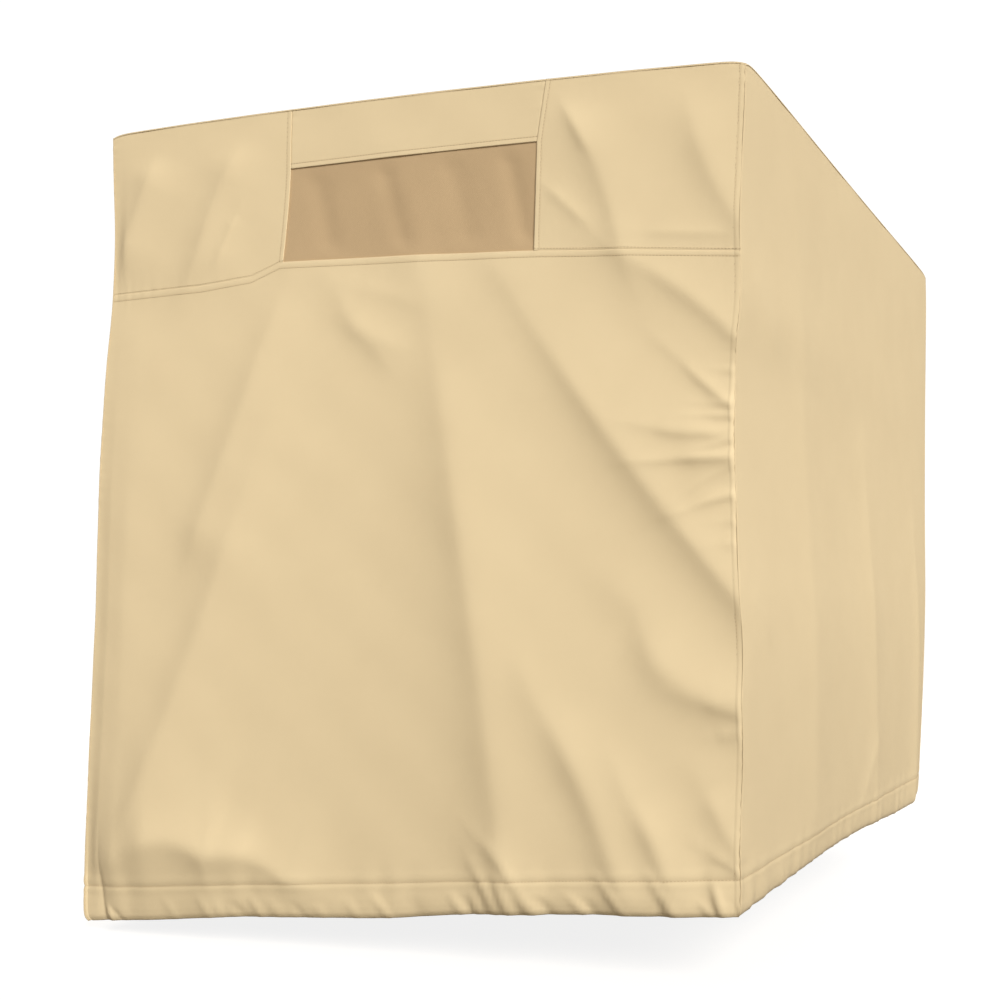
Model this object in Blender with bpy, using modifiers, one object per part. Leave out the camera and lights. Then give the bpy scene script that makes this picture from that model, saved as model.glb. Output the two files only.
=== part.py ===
"""Fitted cloth cover for an evaporative cooler, hanging as it drapes over the unit's box.

Metres, +Z up. The origin is the middle of the top's underside, where the unit carries the cover. The front
wall, with its screened window, faces -Y; +X runs to the right along it.
"""

import math
from typing import NamedTuple

import bmesh
import bpy
import numpy as np

MM = 0.001

# Driving dimensions
WIDTH = 0.914
DEPTH = 1.016
HEIGHT = 1.010
CLOTH = 0.002
SCREEN_CLOTH = 0.0015
SEAM_GAP = 0.00036
CORNER_GAP = 0.0018
EDGE_RADIUS = 0.012

# Heights on the walls, as shares from the hem's edge (0) to the top (1)
HEM_TUCK = (  # height, how far the gathered hem is drawn in (mm)
    (0.000, 8.0),
    (0.010, 2.0),
    (0.026, -1.0),
    (0.043, 2.0),
    (0.060, -1.0),
)
WALL_LEVELS = (0.11, 0.18, 0.26, 0.34, 0.42, 0.50, 0.58, 0.66, 0.72)
UPPER_LEVEL = 0.86
LINTEL_LEVEL = 0.924
CROWN = 6 * MM
SIDE_SAG = 4 * MM
BELLY_HEIGHT = 0.7

# Mesh steps
ARC_STEPS = 2
FRONT_STEPS = (14, 16, 12)
SIDE_STEPS = 14
PLAIN_STEPS = 10
TOP_ROWS = 8


class Corner(NamedTuple):
    """One upright corner: its place on the plain box, and how it hangs away from it (mm)."""

    side: int
    face: int
    top: tuple
    hem: tuple
    band: float
    drift_way: tuple
    drift: tuple


CORNERS = {
    "front_left": Corner(
        side=-1, face=-1, top=(-8, -5, 26), hem=(-14, -17, -35), band=0.790, drift_way=(1, 1),
        drift=(
            (0, -4), (0.06, -4), (0.20, -3), (0.36, -1), (0.60, 0),
            (0.70, 3), (0.79, 7), (0.86, 7), (1, 0),
        ),
    ),
    "front_right": Corner(
        side=1, face=-1, top=(5, 1, 1), hem=(-13, 7, 36), band=0.771, drift_way=(1, 0),
        drift=(
            (0, 2), (0.05, 2), (0.36, 1), (0.42, -3), (0.52, -7),
            (0.64, -8), (0.72, -3), (0.79, -4), (1, 2),
        ),
    ),
    "back_right": Corner(
        side=1, face=1, top=(25, 8, -46), hem=(-2, 6, 44), band=0.78, drift_way=(1, 0),
        drift=((0, -3), (0.20, 3), (0.36, 5), (0.55, 2), (0.80, 0), (1, 1)),
    ),
    "back_left": Corner(
        side=-1, face=1, top=(2, 2, 4), hem=(2, -2, -16), band=0.785, drift_way=(-1, 1),
        drift=((0, 0), (0.15, 5), (0.45, 3), (0.70, -3), (1, 0)),
    ),
}


class Wall(NamedTuple):
    """One wall, between two corners from left to right as seen from outside."""

    left: str
    right: str
    outward: tuple
    belly: float
    crown: float
    phase: float


WALLS = {
    "front": Wall("front_left", "front_right", (0, -1, 0), belly=6 * MM, crown=CROWN, phase=0.4),
    "right": Wall("front_right", "back_right", (1, 0, 0), belly=2 * MM, crown=-SIDE_SAG, phase=1.9),
    "back": Wall("back_right", "back_left", (0, 1, 0), belly=7 * MM, crown=0, phase=3.1),
    "left": Wall("back_left", "front_left", (-1, 0, 0), belly=6 * MM, crown=0, phase=4.6),
}

# Where the window's two upright seams stand, as shares of the front's width
WINDOW_SEAMS = (  # height, left seam, right seam
    (0.000, 0.310, 0.718),
    (0.780, 0.310, 0.718),
    (0.924, 0.319, 0.717),
    (1.000, 0.320, 0.729),
)
# How far the seam under the window rises above a straight line across the front
BAND_LIFT = (  # share of the front's width, lift (mm)
    (0.00, 0),
    (0.17, 1),
    (0.26, 8),
    (0.31, 24),
    (0.72, 14),
    (0.81, 10),
    (1.00, 0),
)


class Fold(NamedTuple):
    """One soft fold: a crest along a bowed line, steep on its shade side (mm)."""

    wall: str
    start: tuple
    end: tuple
    bow: float
    lit: float
    shade: float
    rise: float


FOLDS = (
    Fold("front", (163, -248), (452, -628), bow=-7, lit=60, shade=20, rise=11),
    Fold("front", (50, -262), (158, -950), bow=7, lit=70, shade=28, rise=12),
    Fold("front", (-164, -210), (-284, -520), bow=2, lit=55, shade=25, rise=9),
    Fold("front", (-195, -433), (-402, -939), bow=4, lit=65, shade=27, rise=10),
    Fold("front", (304, -216), (452, -336), bow=9, lit=38, shade=15, rise=6),
    Fold("front", (342, -418), (452, -434), bow=0, lit=30, shade=14, rise=4),
    Fold("front", (366, -461), (452, -465), bow=0, lit=24, shade=14, rise=4),
    Fold("front", (322, -630), (452, -736), bow=-36, lit=36, shade=24, rise=9),
    Fold("front", (197, -738), (303, -960), bow=12, lit=42, shade=19, rise=12),
    Fold("front", (316, -845), (382, -966), bow=0, lit=30, shade=15, rise=8),
    Fold("front", (402, -834), (444, -916), bow=0, lit=24, shade=15, rise=6),
    Fold("front", (-392, -936), (-285, -930), bow=6, lit=40, shade=28, rise=9),
    Fold("front", (-262, -930), (-160, -978), bow=0, lit=32, shade=24, rise=7),
    Fold("front", (-374, -8), (-426, -128), bow=0, lit=36, shade=17, rise=7),
    Fold("front", (-224, 0), (-304, -158), bow=-8, lit=40, shade=17, rise=7),
    Fold("front", (-14, -68), (26, -186), bow=0, lit=50, shade=28, rise=4),
    Fold("front", (228, -14), (304, -205), bow=9, lit=36, shade=16, rise=5),
    Fold("front", (386, -36), (452, -195), bow=-9, lit=30, shade=16, rise=5),
    Fold("right", (-300, -120), (-210, -900), bow=10, lit=110, shade=80, rise=5),
    Fold("right", (60, -420), (150, -960), bow=-8, lit=70, shade=45, rise=6),
    Fold("right", (400, -520), (450, -960), bow=6, lit=50, shade=30, rise=6),
    Fold("back", (-250, -130), (-330, -950), bow=14, lit=80, shade=50, rise=10),
    Fold("back", (-40, -260), (10, -980), bow=-12, lit=90, shade=48, rise=12),
    Fold("back", (230, -90), (330, -940), bow=16, lit=80, shade=44, rise=11),
    Fold("left", (-330, -160), (-280, -960), bow=-10, lit=90, shade=50, rise=9),
    Fold("left", (-60, -120), (-120, -980), bow=14, lit=80, shade=46, rise=12),
    Fold("left", (240, -300), (330, -1000), bow=10, lit=80, shade=48, rise=11),
)
CREST_RADIUS = 8 * MM
FOLD_START = 0.35
FOLD_GROWTH = 0.4
FOLD_FADE = 60 * MM
SEAM_FADE = 30 * MM
TOP_REST = 6 * MM
TOP_FADE = 60 * MM
BAND_ROWS = 2.0

# Gathers along the drawn hem, and the waves of its lower edge (share, turns of phase for each metre)
GATHER_PITCH = 46 * MM
GATHER_DEPTH = 4 * MM
GATHER_SLANT = 90.0
GATHER_HEIGHT = 0.07
GATHER_UNEVEN = 0.35
GATHER_BEAT = 17.0
GATHER_STRAY = 1.3
STRAY_BEAT = 23.0
HEM_WAVE = 3 * MM
HEM_WAVES = ((0.6, 41.0), (0.4, 19.0))
# How far the two seen walls' lower edges rise above a straight line
HEM_LIFT = {  # share of the wall's width, lift (mm)
    "front": (
        (0.00, 0), (0.14, 2), (0.26, 5), (0.40, 3), (0.51, 2),
        (0.62, 6), (0.72, 6), (0.81, 5), (0.92, 2), (1.00, 0),
    ),
    "right": ((0.00, 0), (0.05, 3), (0.18, 7), (0.35, 10), (0.60, 8), (0.94, -4), (1.00, 0)),
}


def smooth(x):
    """Ease from 0 to 1 as x goes from 0 to 1."""
    x = np.clip(x, 0.0, 1.0)
    return x * x * (3.0 - 2.0 * x)


def column(table, index):
    """One column of a table, as an array."""
    return np.array([row[index] for row in table], dtype=float)


def arc_shares():
    """Along and inward shares of the edge radius, from the flat to the seam at 45 degrees."""
    turn = np.linspace(0.0, math.pi / 4, ARC_STEPS + 1)
    return 1.0 - np.sin(turn), 1.0 - np.cos(turn)


def levels(corner):
    """Heights of a corner's levels, with how far each is drawn in towards the middle."""
    along, inward = arc_shares()
    heights = [*column(HEM_TUCK, 0), *WALL_LEVELS, corner.band, UPPER_LEVEL, LINTEL_LEVEL]
    drawn = [*(column(HEM_TUCK, 1) * MM), *[0.0] * (len(WALL_LEVELS) + 3)]
    heights += list(1.0 - EDGE_RADIUS / HEIGHT * along)
    drawn += list(EDGE_RADIUS * inward)
    return np.array(heights), np.array(drawn)


# Rows of the band under the window, of the window's upper edge and of the top's seam
HEM_TOP = len(HEM_TUCK) - 1
BAND = HEM_TOP + 1 + len(WALL_LEVELS)
LINTEL = BAND + 2
LAST = LINTEL + 1 + ARC_STEPS


def corner_line(name):
    """Points of a corner's upright line at every level, before its edge is rounded."""
    corner = CORNERS[name]
    heights, drawn = levels(corner)
    plain = np.array([corner.side * (WIDTH / 2 - CLOTH), corner.face * (DEPTH / 2 - CLOTH), -CLOTH])
    hem = plain + np.array(corner.hem) * MM - np.array([0, 0, HEIGHT])
    top = plain + np.array(corner.top) * MM
    points = hem + (top - hem) * heights[:, None]
    drift = np.interp(heights, column(corner.drift, 0), column(corner.drift, 1)) * MM
    points[:, 0] += drift * corner.drift_way[0] - corner.side * drawn
    points[:, 1] += drift * corner.drift_way[1] - corner.face * drawn
    return points, heights


def at_rows(values, rows):
    """Values of the levels, read at rows that may lie between two levels."""
    values = np.asarray(values, dtype=float)
    whole = np.minimum(rows.astype(int), len(values) - 2)
    part = (rows - whole).reshape(-1, *[1] * (values.ndim - 1))
    return values[whole] * (1.0 - part) + values[whole + 1] * part


def fold_height(fold, across, height):
    """How far one fold lifts the cloth off the wall at places across and up the wall."""
    start = np.array(fold.start) * MM
    way = np.array(fold.end) * MM - start
    length = np.hypot(*way)
    way = way / length
    ahead = ((across - start[0]) * way[0] + (height - start[1]) * way[1]) / length
    along = np.clip(ahead, 0.0, 1.0)
    beside = (across - start[0]) * -way[1] + (height - start[1]) * way[0]
    beside = beside - fold.bow * MM * 4.0 * along * (1.0 - along)
    reach = np.where(beside > 0.0, fold.lit, fold.shade) * MM
    round_off = np.sqrt(beside**2 + CREST_RADIUS**2) - CREST_RADIUS
    past = np.abs(ahead - along) * length
    growth = FOLD_START + (1.0 - FOLD_START) * smooth(along / FOLD_GROWTH)
    return fold.rise * MM * growth * np.exp(-round_off / reach) * np.exp(-((past / FOLD_FADE) ** 2))


def gathers(wall, across, share):
    """Uneven slanted gathers in the hem of a wall."""
    turn = 2.0 * math.pi * across / GATHER_PITCH + GATHER_SLANT * share + wall.phase
    uneven = 1.0 - GATHER_UNEVEN + GATHER_UNEVEN * np.sin(across * GATHER_BEAT + wall.phase)
    wave = np.sin(turn + GATHER_STRAY * np.sin(across * STRAY_BEAT + wall.phase))
    return GATHER_DEPTH * uneven * wave * (1.0 - smooth(share / GATHER_HEIGHT))


def hem_waves(name, place, across, share):
    """How far the hem's lower edge rises and falls."""
    if name in HEM_LIFT:
        wave = np.interp(place, column(HEM_LIFT[name], 0), column(HEM_LIFT[name], 1)) * MM
    else:
        turns = [part * np.sin(across * beat + WALLS[name].phase) for part, beat in HEM_WAVES]
        wave = HEM_WAVE * sum(turns)
    return wave * (1.0 - smooth(share / GATHER_HEIGHT))


def wall_grid(name, rows, shares):
    """Points of a wall's inner face, one row of them for each height and one column for each share.

    shares gives, for each row, the columns' places on the flat stretch between the two rounded edges.
    """
    wall = WALLS[name]
    out = np.array(wall.outward, dtype=float)
    left, left_heights = corner_line(wall.left)
    right, right_heights = corner_line(wall.right)
    left = at_rows(left, rows)[:, None, :]
    right = at_rows(right, rows)[:, None, :]
    run = np.linalg.norm(right - left, axis=2)
    along, inward = arc_shares()
    edge = EDGE_RADIUS * along[:0:-1]
    flat = EDGE_RADIUS + (run - 2.0 * EDGE_RADIUS) * shares
    tall = np.ones_like(run)
    place = np.hstack([tall * edge, flat, run - tall * edge[::-1]]) / run
    inset = np.zeros(place.shape[1])
    inset[:ARC_STEPS] = EDGE_RADIUS * inward[:0:-1]
    inset[-ARC_STEPS:] = EDGE_RADIUS * inward[1:]
    grid = left + (right - left) * place[..., None]

    share = at_rows(left_heights, rows)[:, None] * (1.0 - place)
    share = share + at_rows(right_heights, rows)[:, None] * place
    sideways = np.cross([0.0, 0.0, 1.0], out)
    across = grid @ sideways
    if name == "front":
        lift = np.interp(place, column(BAND_LIFT, 0), column(BAND_LIFT, 1)) * MM
        grid[..., 2] += lift * np.clip(1.0 - np.abs(rows[:, None] - BAND) / BAND_ROWS, 0.0, 1.0)
    grid[..., 2] += wall.crown * (1.0 - (2.0 * place - 1.0) ** 2) * share**2
    from_seam = np.minimum(place, 1.0 - place) * run
    at_sides = smooth((from_seam - EDGE_RADIUS * along[-1]) / SEAM_FADE)
    under_top = smooth(((1.0 - share) * HEIGHT - TOP_REST) / TOP_FADE)
    push = wall.belly * np.sin(math.pi * place) * np.sin(math.pi * share**BELLY_HEIGHT)
    for fold in FOLDS:
        if fold.wall == name:
            push = push + fold_height(fold, across, grid[..., 2])
    push = push * under_top + gathers(wall, across, share)
    grid[..., 2] += hem_waves(name, place, across, share) * at_sides
    return grid + out * (push * at_sides - inset)[..., None]


def front_shares(rows):
    """Columns of the front wall, which follow the window's two upright seams."""
    corner = CORNERS["front_left"]
    height = at_rows(levels(corner)[0], rows)
    left_seam = np.interp(height, column(WINDOW_SEAMS, 0), column(WINDOW_SEAMS, 1))
    right_seam = np.interp(height, column(WINDOW_SEAMS, 0), column(WINDOW_SEAMS, 2))
    before, window, after = FRONT_STEPS
    shares = [
        np.hstack([
            np.linspace(0.0, a, before + 1),
            np.linspace(a, b, window + 1)[1:],
            np.linspace(b, 1.0, after + 1)[1:],
        ])
        for a, b in zip(left_seam, right_seam)
    ]
    return np.array(shares)


def front_rows():
    """Rows of the front wall: every level, and one between each two above the hem."""
    levels_up = np.arange(LAST + 1, dtype=float)
    between = np.arange(HEM_TOP, LINTEL + 1, dtype=float) + 0.5
    return np.sort(np.hstack([levels_up, between]))


def even_shares(rows, steps):
    """Evenly spaced columns, the same for every row."""
    return np.tile(np.linspace(0.0, 1.0, steps + 1), (len(rows), 1))


def top_grid(front_edge):
    """The top panel, spanned between the upper edges of the four walls and rolled over them."""
    last = np.array([float(LAST)])
    steps = len(front_edge) - 1 - 2 * ARC_STEPS
    back_edge = wall_grid("back", last, even_shares(last, steps))[0][::-1]
    right_edge = wall_grid("right", last, even_shares(last, TOP_ROWS))[0]
    left_edge = wall_grid("left", last, even_shares(last, TOP_ROWS))[0][::-1]
    u = path_shares(front_edge)[None, :, None]
    v = path_shares(right_edge)[:, None, None]
    between_sides = (1 - u) * left_edge[:, None] + u * right_edge[:, None]
    grid = (1 - v) * front_edge[None] + v * back_edge[None] + between_sides
    grid -= (1 - u) * (1 - v) * front_edge[0] + u * (1 - v) * front_edge[-1]
    grid -= (1 - u) * v * back_edge[0] + u * v * back_edge[-1]
    rows, columns = np.indices(grid.shape[:2])
    steps_in = np.minimum(np.minimum(rows, rows[::-1]), np.minimum(columns, columns[:, ::-1]))
    along, _ = arc_shares()
    turn = math.pi / 4 + np.minimum(steps_in, ARC_STEPS) * math.pi / 4 / ARC_STEPS
    grid[..., 2] += EDGE_RADIUS * (along[-1] - (1.0 - np.sin(turn)))
    return grid


def path_shares(path):
    """Each point's distance along a path, as a share of the whole."""
    run = np.hstack([0.0, np.cumsum(np.linalg.norm(np.diff(path, axis=0), axis=1))])
    return run / run[-1]


def drawn_back(grid):
    """A panel's grid with its four edges drawn back by half of a seam's gap, and more at its corners."""
    grid = grid.copy()
    for turned in (grid, grid.transpose(1, 0, 2)):
        for edge, inner in ((0, 1), (-1, -2)):
            way = turned[inner] - turned[edge]
            way /= np.linalg.norm(way, axis=1)[:, None]
            back = np.full(len(way), SEAM_GAP / 2.0)
            back[[0, -1]] = CORNER_GAP / 2.0
            turned[edge] += way * back[:, None]
    return grid


def cloth_material(name, colour, roughness):
    """A plain woven cloth finish of one colour."""
    material = bpy.data.materials.new(name)
    material.use_nodes = True
    shader = material.node_tree.nodes["Principled BSDF"]
    shader.inputs["Base Color"].default_value = (*colour, 1.0)
    shader.inputs["Roughness"].default_value = roughness
    shader.inputs["Metallic"].default_value = 0.0
    return material


CANVAS = {"colour": (0.78, 0.62, 0.37), "roughness": 0.8}
SCREEN = {"colour": (0.53, 0.38, 0.21), "roughness": 0.85}


def add_panel(collection, name, grid, thickness, finish):
    """Sew one panel: a flat grid draped onto its points and thickened outwards."""
    rows, columns = grid.shape[0] - 1, grid.shape[1] - 1
    sheet = bmesh.new()
    bmesh.ops.create_grid(sheet, x_segments=columns, y_segments=rows, size=0.5)
    for vertex in sheet.verts:
        across = round((vertex.co.x + 0.5) * columns)
        up = round((vertex.co.y + 0.5) * rows)
        vertex.co = grid[up, across]
    mesh = bpy.data.meshes.new(name)
    sheet.to_mesh(mesh)
    sheet.free()
    mesh.shade_smooth()
    mesh.materials.append(cloth_material(name, **finish))
    panel = bpy.data.objects.new(name, mesh)
    collection.objects.link(panel)
    thicken = panel.modifiers.new("Cloth", "SOLIDIFY")
    thicken.thickness = thickness
    thicken.offset = 1.0
    thicken.use_even_offset = True
    return panel


def build():
    """Make the cover's nine sewn panels."""
    for old in list(bpy.data.objects):
        bpy.data.objects.remove(old, do_unlink=True)
    cover = bpy.data.collections.new("evaporative_cooler_cover")
    bpy.context.scene.collection.children.link(cover)

    rows = front_rows()
    front = wall_grid("front", rows, front_shares(rows))
    band = int(np.flatnonzero(rows == BAND)[0])
    lintel = int(np.flatnonzero(rows == LINTEL)[0])
    left_seam = ARC_STEPS + FRONT_STEPS[0]
    right_seam = left_seam + FRONT_STEPS[1]
    behind = front + np.array([0.0, SEAM_GAP + SCREEN_CLOTH, 0.0])
    screen = behind[band - 1 : lintel + 2, left_seam - 1 : right_seam + 2]
    pieces = {
        "front_lower": front[: band + 1],
        "front_upper_left": front[band:, : left_seam + 1],
        "front_upper_right": front[band:, right_seam:],
        "window_header": front[lintel:, left_seam : right_seam + 1],
    }
    level_rows = np.arange(LAST + 1, dtype=float)
    pieces["side_right"] = wall_grid("right", level_rows, even_shares(level_rows, SIDE_STEPS))
    pieces["side_left"] = wall_grid("left", level_rows, even_shares(level_rows, PLAIN_STEPS))
    pieces["back_panel"] = wall_grid("back", level_rows, even_shares(level_rows, PLAIN_STEPS))
    every_other = [*range(ARC_STEPS), *range(ARC_STEPS, front.shape[1] - ARC_STEPS, 2)]
    every_other += range(front.shape[1] - ARC_STEPS, front.shape[1])
    pieces["top_panel"] = top_grid(front[-1, every_other])
    for name, grid in pieces.items():
        add_panel(cover, name, drawn_back(grid), CLOTH, CANVAS)
    add_panel(cover, "window_screen", screen, SCREEN_CLOTH, SCREEN)


build()
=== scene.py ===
"""Looks of a fitted cover for an evaporative cooler: draped canvas, a screened window and a gathered hem.

Metres, +Z up. The origin is the middle of the top's underside. The front wall, with the window, faces -Y.
"""

import logging
import math
from dataclasses import dataclass
from enum import Enum
from typing import Optional, Sequence

import bpy
import numpy as np
from mathutils import Matrix, Vector


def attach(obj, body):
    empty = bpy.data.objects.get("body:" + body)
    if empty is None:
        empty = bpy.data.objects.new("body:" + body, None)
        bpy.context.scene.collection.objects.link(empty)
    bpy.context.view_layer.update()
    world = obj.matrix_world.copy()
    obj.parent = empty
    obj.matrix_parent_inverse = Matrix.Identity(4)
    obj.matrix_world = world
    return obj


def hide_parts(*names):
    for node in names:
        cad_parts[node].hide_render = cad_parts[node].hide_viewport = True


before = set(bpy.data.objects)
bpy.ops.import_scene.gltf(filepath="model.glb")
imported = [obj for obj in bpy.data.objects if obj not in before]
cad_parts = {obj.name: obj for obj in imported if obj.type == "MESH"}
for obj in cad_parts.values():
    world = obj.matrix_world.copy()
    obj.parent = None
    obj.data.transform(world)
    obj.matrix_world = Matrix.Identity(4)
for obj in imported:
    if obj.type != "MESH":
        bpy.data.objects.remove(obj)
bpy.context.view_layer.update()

logging.basicConfig(level=logging.INFO, format="%(message)s")
LOG = logging.getLogger("cover")

MM = 0.001


class Side(Enum):
    """The four walls, named as seen from the front."""

    FRONT = "front"
    RIGHT = "right"
    BACK = "back"
    LEFT = "left"


class Edge(Enum):
    """The four edges of a panel as seen from outside."""

    LEFT = "left"
    RIGHT = "right"
    LOWER = "lower"
    UPPER = "upper"


class Sewing(Enum):
    """How a panel's edge is finished."""

    SEAM = "joined edge to edge"
    FELLED = "joined, with the allowance laid flat under a second row"
    TURNED = "turned under twice round the window"
    HEM = "gathered hem"
    RIM = "joined to the top's edge, drawn smooth"


@dataclass(frozen=True)
class Corner:
    """One upright corner: its place on the plain box and how it hangs away from it (mm)."""

    side: int
    face: int
    top: tuple[float, float, float]
    hem: tuple[float, float, float]
    band: float
    drift_way: tuple[int, int]
    drift: tuple[tuple[float, float], ...]


CORNERS: dict[str, Corner] = {
    "front_left": Corner(
        side=-1, face=-1, top=(-8, -5, 26), hem=(-14, -17, -35), band=0.790, drift_way=(1, 1),
        drift=(
            (0, -4), (0.06, -4), (0.20, -3), (0.36, -1), (0.60, 0), (0.70, 3), (0.79, 7), (0.86, 7), (1, 0),
        ),
    ),
    "front_right": Corner(
        side=1, face=-1, top=(5, 1, 1), hem=(-13, 7, 36), band=0.771, drift_way=(1, 0),
        drift=(
            (0, 2), (0.05, 2), (0.36, 1), (0.42, -3), (0.52, -7), (0.64, -8), (0.72, -3), (0.79, -4), (1, 2),
        ),
    ),
    "back_right": Corner(
        side=1, face=1, top=(25, 8, -46), hem=(-2, 6, 44), band=0.78, drift_way=(1, 0),
        drift=((0, -3), (0.20, 3), (0.36, 5), (0.55, 2), (0.80, 0), (1, 1)),
    ),
    "back_left": Corner(
        side=-1, face=1, top=(2, 2, 4), hem=(2, -2, -16), band=0.785, drift_way=(-1, 1),
        drift=((0, 0), (0.15, 5), (0.45, 3), (0.70, -3), (1, 0)),
    ),
}


@dataclass(frozen=True)
class Wall:
    """One wall between two corners, from left to right as seen from outside, and how it hangs."""

    left: str
    right: str
    outward: tuple[float, float, float]
    belly: float
    phase: float
    gather: float = 1.0

    def ways(self) -> tuple[np.ndarray, np.ndarray]:
        """The way out of the wall, and the way across it from left to right."""
        out = np.array(self.outward, dtype=float)
        return out, np.cross((0.0, 0.0, 1.0), out)


WALLS: dict[Side, Wall] = {
    Side.FRONT: Wall("front_left", "front_right", (0, -1, 0), belly=6 * MM, phase=0.4),
    Side.RIGHT: Wall("front_right", "back_right", (1, 0, 0), belly=2 * MM, phase=1.9, gather=0.35),
    Side.BACK: Wall("back_right", "back_left", (0, 1, 0), belly=7 * MM, phase=3.1),
    Side.LEFT: Wall("back_left", "front_left", (-1, 0, 0), belly=6 * MM, phase=4.6),
}


@dataclass(frozen=True)
class Fold:
    """One soft fold (mm): a crest along a bowed line, steep on its shade side."""

    start: tuple[float, float]
    end: tuple[float, float]
    bow: float
    lit: float
    shade: float
    rise: float
    crest: float = 8.0


FOLDS: dict[Side, tuple[Fold, ...]] = {
    Side.FRONT: (
        Fold((163, -248), (480, -661), bow=-8, lit=76, shade=20, rise=9, crest=8),
        Fold((50, -262), (160, -966), bow=7, lit=110, shade=40, rise=13, crest=13),
        Fold((-164, -210), (-284, -520), bow=2, lit=76, shade=25, rise=7.5, crest=11),
        Fold((-195, -433), (-402, -939), bow=4, lit=90, shade=28, rise=8.5, crest=12),
        Fold((304, -216), (456, -336), bow=9, lit=40, shade=12, rise=5, crest=5),
        Fold((342, -418), (456, -434), bow=0, lit=30, shade=12, rise=3.2, crest=6),
        Fold((366, -461), (456, -465), bow=0, lit=24, shade=12, rise=3.4, crest=5),
        Fold((322, -630), (452, -736), bow=-36, lit=40, shade=24, rise=8.5, crest=14),
        Fold((197, -738), (303, -960), bow=12, lit=56, shade=20, rise=9.5, crest=10),
        Fold((312, -848), (366, -972), bow=8, lit=34, shade=13, rise=7.5, crest=6),
        Fold((400, -834), (436, -898), bow=0, lit=28, shade=14, rise=4.5, crest=7),
        Fold((-404, -958), (-268, -946), bow=20, lit=60, shade=44, rise=15, crest=9),
        Fold((-256, -946), (-150, -972), bow=14, lit=50, shade=28, rise=9, crest=7),
        Fold((-404, -330), (-412, -940), bow=0, lit=90, shade=30, rise=4.5, crest=18),
        Fold((-374, -8), (-426, -128), bow=0, lit=46, shade=18, rise=6, crest=10),
        Fold((-224, 0), (-304, -158), bow=-8, lit=50, shade=18, rise=6, crest=10),
        Fold((-14, -68), (26, -186), bow=0, lit=50, shade=24, rise=3, crest=22),
        Fold((228, -14), (304, -205), bow=9, lit=44, shade=16, rise=4.5, crest=9),
        Fold((386, -36), (454, -195), bow=-9, lit=34, shade=16, rise=4.5, crest=10),
    ),
    Side.RIGHT: (
        Fold((-300, -120), (-210, -900), bow=10, lit=110, shade=80, rise=5),
        Fold((60, -420), (150, -960), bow=-8, lit=70, shade=45, rise=6),
        Fold((400, -520), (450, -960), bow=6, lit=50, shade=30, rise=6),
    ),
    Side.BACK: (
        Fold((-250, -130), (-330, -950), bow=14, lit=80, shade=50, rise=10),
        Fold((-40, -260), (10, -980), bow=-12, lit=90, shade=48, rise=12),
        Fold((230, -90), (330, -940), bow=16, lit=80, shade=44, rise=11),
    ),
    Side.LEFT: (
        Fold((-330, -160), (-280, -960), bow=-10, lit=90, shade=50, rise=9),
        Fold((-60, -120), (-120, -980), bow=14, lit=80, shade=46, rise=12),
        Fold((240, -300), (330, -1000), bow=10, lit=80, shade=48, rise=11),
    ),
}

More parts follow.
